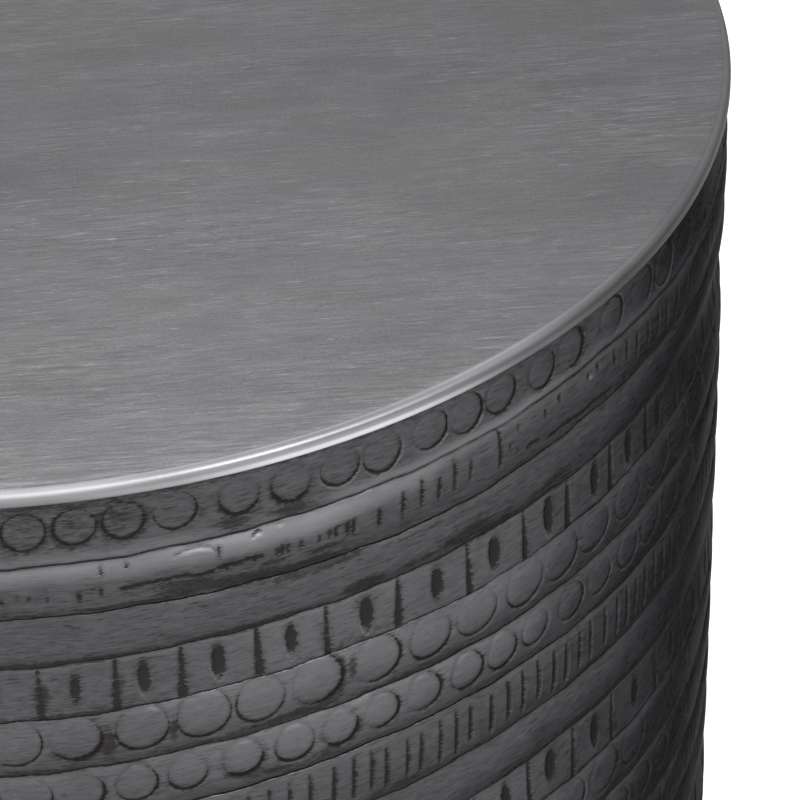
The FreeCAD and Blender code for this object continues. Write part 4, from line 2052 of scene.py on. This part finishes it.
    def _quads(self, shape: Tuple[int, int], outer_rows: int) -> Tuple[Array, Array]:
        """Join the rings of a course and lay them out on the bake map.

        Args:
            shape: (rings, columns).
            outer_rows: How many rings make the outer face.

        Returns:
            Vertex numbers and UVs of the quads: the outer face as stacked strips, the rest as
            one thin strip above them.
        """
        rings, columns = shape
        column = np.arange(columns)
        per_strip = math.ceil(columns / self.map_strips)
        left = (column % per_strip) / per_strip
        tall = self.map_height / self.map_strips
        foot = column // per_strip * tall + self.map_gap
        filled = tall - 2.0 * self.map_gap
        inner_step = self.map_inner_height / (rings - outer_rows + 1)
        quads: List[Array] = []
        uvs: List[Array] = []
        for ring in range(rings):
            quads.append(ring_quads(ring, (ring + 1) % rings, columns))
            if ring < outer_rows - 1:
                near, far = (foot + filled * row / (outer_rows - 1) for row in (ring, ring + 1))
                sides = (left, left + 1.0 / per_strip)
                first, second = (
                    self.map_side + (1.0 - 2.0 * self.map_side) * share for share in sides)
            else:
                inner_foot = self.map_inner_foot + inner_step * (ring - outer_rows + 1)
                near = np.full(columns, inner_foot)
                far = near + inner_step * 0.9
                first, second = column / columns, (column + 1) / columns
            uvs.append(corner_uvs([(first, near), (first, far), (second, far), (second, near)]))
        return np.concatenate(quads), np.concatenate(uvs)

    def dress(self, effects: SharedEffects) -> List[Object]:
        """Build, finish and seat every course.

        Args:
            effects: The shared effects.

        Returns:
            The courses from the top down.
        """
        material = ChasedPewter().make(effects)
        courses = map(self.course, range(self.bands // self.bands_per_course))
        return [seat(course, "wall_metal", material, "drum_wall") for course in courses]


@dataclass
class BoardScrews:
    """Four hexagon-head screws with washers, under the top lugs."""

    lug_underside_mm: float = 386.8
    pitch_radius_mm: float = 204.8
    flats_mm: float = 8.0
    head_mm: float = 3.2
    head_round_mm: float = 0.5
    washer_radius_mm: float = 5.6
    washer_mm: float = 0.9
    washer_round_mm: float = 0.15
    pin_radius_mm: float = 0.01
    segments: int = 48
    count: int = 4
    map_size: float = 0.014
    sharp_degrees: float = 35.0

    def _profile(self) -> List[Tuple[float, float, bool]]:
        """List the rings of a screw.

        Returns:
            Radius, height and whether it is hexagonal, from the lug downwards.
        """
        corner = self.flats_mm / math.sqrt(3.0)
        top, edge = self.lug_underside_mm, self.washer_radius_mm
        head_top = top - self.washer_mm
        head_foot = head_top - self.head_mm
        bevel = self.washer_round_mm
        return [
            (self.pin_radius_mm, top, False), (edge - bevel, top, False),
            (edge, top - bevel, False), (edge, head_top + bevel, False),
            (edge - bevel, head_top, False), (corner, head_top, True),
            (corner, head_foot + self.head_round_mm, True), (corner * 0.9, head_foot, False),
            (self.pin_radius_mm, head_foot, False),
        ]

    def build(self, index: int) -> Object:
        """Build one screw.

        Args:
            index: Which of the screws, from 0 on +X.

        Returns:
            One closed mesh.
        """
        count = self.segments
        turn = np.linspace(0.0, FULL_TURN, count, endpoint=False)
        sixth = math.pi / 3.0
        hexagon = math.cos(sixth / 2.0) / np.cos((turn % sixth) - sixth / 2.0)
        ones = np.ones(count)
        profile = self._profile()
        radius = np.array([value * (hexagon if hexed else ones) for value, _, hexed in profile])
        level = np.array([value * ones for _, value, _ in profile])
        spin = math.radians(360.0 * index / self.count)
        x, y = self.pitch_radius_mm * math.cos(spin), self.pitch_radius_mm * math.sin(spin)
        spots = [x + radius * np.cos(turn), y + radius * np.sin(turn), level]
        places = np.stack(spots, axis=-1) * MM

        quads = [ring_quads(ring + 1, ring, count) for ring in range(len(profile) - 1)]
        top_cap = np.array([(near, near + 1, count - 2 - near, count - 1 - near)
                            for near in range(count // 2 - 1)])
        bottom_cap = top_cap[:, ::-1] + (len(profile) - 1) * count
        faces = np.concatenate(quads + [top_cap, bottom_cap])
        spread = places.reshape(-1, 3)[faces][:, :, :2] - np.array((x, y)) * MM
        uvs = 0.5 + spread / self.map_size
        piece = sheet_mesh("board_screw_%d" % (index + 1), places, faces, uvs, {}, {})
        piece.data.set_sharp_from_angle(angle=math.radians(self.sharp_degrees))
        return piece

    def dress(self, effects: SharedEffects) -> List[Object]:
        """Build, finish and seat the screws."""
        material = ZincPlate().make(effects)
        return [seat(self.build(index), "frame_steel", material) for index in range(self.count)]


@dataclass
class InnerParts:
    """CAD pieces that keep their own shape: board, strip, steel frame and glides."""

    board_nodes: Tuple[str, ...] = ("top_board",)
    strip_nodes: Tuple[str, ...] = ("seam_strip",)
    steel_nodes: Tuple[str, ...] = (
        "base_hoop", "upright_1", "upright_2", "upright_3", "upright_4", "top_lugs", "foot_lugs",
    )
    nylon_nodes: Tuple[str, ...] = ("glides",)

    def dress(self, nodes: Dict[str, Object], effects: SharedEffects) -> List[Object]:
        """Give each carried-over node its finish.

        Args:
            nodes: The frame's objects by node name.
            effects: The shared effects.

        Returns:
            The dressed objects.
        """
        finishes = (
            (self.board_nodes, RawFibreboard()), (self.strip_nodes, BrazedStrip()),
            (self.steel_nodes, PaintedSteel()), (self.nylon_nodes, MouldedNylon()),
        )
        dressed: List[Object] = []
        for names, finish in finishes:
            material = finish.make(effects)
            for name in names:
                for slot in nodes[name].material_slots:
                    slot.material = material
                dressed.append(nodes[name])
        return dressed


@dataclass
class Lamp:
    """A square soft light that faces a point of the table."""

    name: str
    place: Tuple[float, float, float]
    side: float
    watts: float
    target: Tuple[float, float, float] = (0.0, 0.0, 0.3)

    def hang(self) -> None:
        """Add the lamp to the scene."""
        data = bpy.data.lights.new(self.name, "AREA")
        data.shape = "SQUARE"
        data.size = self.side
        data.energy = self.watts
        made = bpy.data.objects.new(self.name, data)
        bpy.context.scene.collection.objects.link(made)
        aim = (Vector(self.target) - Vector(self.place)).to_track_quat("-Z", "Y")
        made.matrix_world = Matrix.Translation(self.place) @ aim.to_matrix().to_4x4()


@dataclass
class Studio:
    """Pale floor, white surroundings, soft lamps and the camera."""

    floor_side: float = 14.0
    floor_tone: float = 0.8
    floor_lift: float = 0.8
    floor_lift_mirrored: float = 0.05
    world_fill: float = 0.2
    lamps: Tuple[Lamp, ...] = (
        Lamp("key_light", (-2.6, -2.4, 2.9), 2.4, 110.0, (0.0, 0.0, 0.2)),
        Lamp("front_light", (1.4, -1.8, 1.6), 0.9, 22.0),
        Lamp("overhead_light", (0.05, 0.1, 2.3), 1.0, 16.0),
        Lamp("back_light", (0.1, 0.57, 1.25), 0.36, 1.2, (0.1, -0.15, 0.4)),
    )
    camera_back: float = 1.19256
    camera_height: float = 1.11306
    tilt_down: float = 0.620772
    turn_right: float = 0.107178
    roll: float = -0.012784
    lens_mm: float = 202.70
    sensor_mm: float = 36.0
    sight: float = 50.0

    @staticmethod
    def _mirrored(graph: Graph, rays: Any) -> Output:
        """Return 1 for rays that a mirror or glass sends on, from Light Path's outputs."""
        return graph.most(rays["Is Glossy Ray"], rays["Is Transmission Ray"])

    def _floor(self) -> None:
        """Add the floor, which is white where the camera or a mirror sees it, and keeps shadows."""
        half = self.floor_side / 2.0
        mesh = bpy.data.meshes.new("studio_floor")
        corners = [(-half, -half, 0.0), (half, -half, 0.0), (half, half, 0.0), (-half, half, 0.0)]
        mesh.from_pydata(corners, [], [(0, 1, 2, 3)])
        floor = bpy.data.objects.new("studio_floor", mesh)
        bpy.context.scene.collection.objects.link(floor)
        surface = Surface("pale_floor")
        graph = surface.graph
        paper = graph.noise(surface.object_place(), 3.0, 3.0)
        tone = graph.blend(paper, grey(self.floor_tone - 0.01), grey(self.floor_tone + 0.01))
        surface.set(Base_Color=tone, Roughness=0.9, Specular_IOR_Level=0.1)
        rays = graph.node("ShaderNodeLightPath").outputs
        mirrored = graph.times(self._mirrored(graph, rays), self.floor_lift_mirrored)
        lift = graph.times_plus(rays["Is Camera Ray"], self.floor_lift, mirrored)
        surface.set(Emission_Color=grey(1.0), Emission_Strength=lift)
        mesh.materials.append(surface.material)

    def _world(self) -> None:
        """Add white surroundings for the camera and for mirrors, and a plain soft fill."""
        world = bpy.data.worlds.new("studio_world")
        bpy.context.scene.world = world
        world.use_nodes = True
        graph = Graph(world.node_tree)
        rays = graph.node("ShaderNodeLightPath").outputs
        seen = graph.most(rays["Is Camera Ray"], self._mirrored(graph, rays))
        background = world.node_tree.nodes["Background"].inputs
        graph.feed(background["Color"], grey(1.0))
        graph.feed(background["Strength"], graph.between(seen, self.world_fill, 1.0))

    def _camera(self) -> None:
        """Add the camera and make it the scene's."""
        side, ahead = math.sin(self.turn_right), math.cos(self.turn_right)
        level, fall = math.cos(self.tilt_down), math.sin(self.tilt_down)
        forward = Vector((side * level, ahead * level, -fall))
        level_right = Vector((ahead, -side, 0.0))
        level_up = level_right.cross(forward)
        right = math.cos(self.roll) * level_right + math.sin(self.roll) * level_up
        up = right.cross(forward)
        data = bpy.data.cameras.new("camera")
        data.lens = self.lens_mm
        data.sensor_width = self.sensor_mm
        data.clip_end = self.sight
        camera = bpy.data.objects.new("camera", data)
        bpy.context.scene.collection.objects.link(camera)
        turned = Matrix((right, up, -forward)).transposed().to_4x4()
        stand = Matrix.Translation((0.0, -self.camera_back, self.camera_height))
        camera.matrix_world = stand @ turned
        bpy.context.scene.camera = camera

    def build(self) -> None:
        """Set the studio up."""
        bpy.context.scene.view_settings.view_transform = "Standard"
        self._floor()
        self._world()
        self._camera()
        for lamp in self.lamps:
            lamp.hang()


def main() -> None:
    """Build the table's pieces in order, then the studio, and report each piece."""
    logging.basicConfig(level=logging.INFO, format="%(message)s")
    effects = SharedEffects()
    pieces: List[Object] = [TopPlate().dress(effects)]
    pieces += DrumWall().dress(effects)
    pieces += BoardScrews().dress(effects)
    pieces += InnerParts().dress(frame["nodes"], effects)
    Studio().build()
    for piece in pieces:
        finish = piece.data.materials[0].name
        LOG.info("%s: %d faces, %s", piece.name, len(piece.data.polygons), finish)


if __name__ == "__main__":
    main()
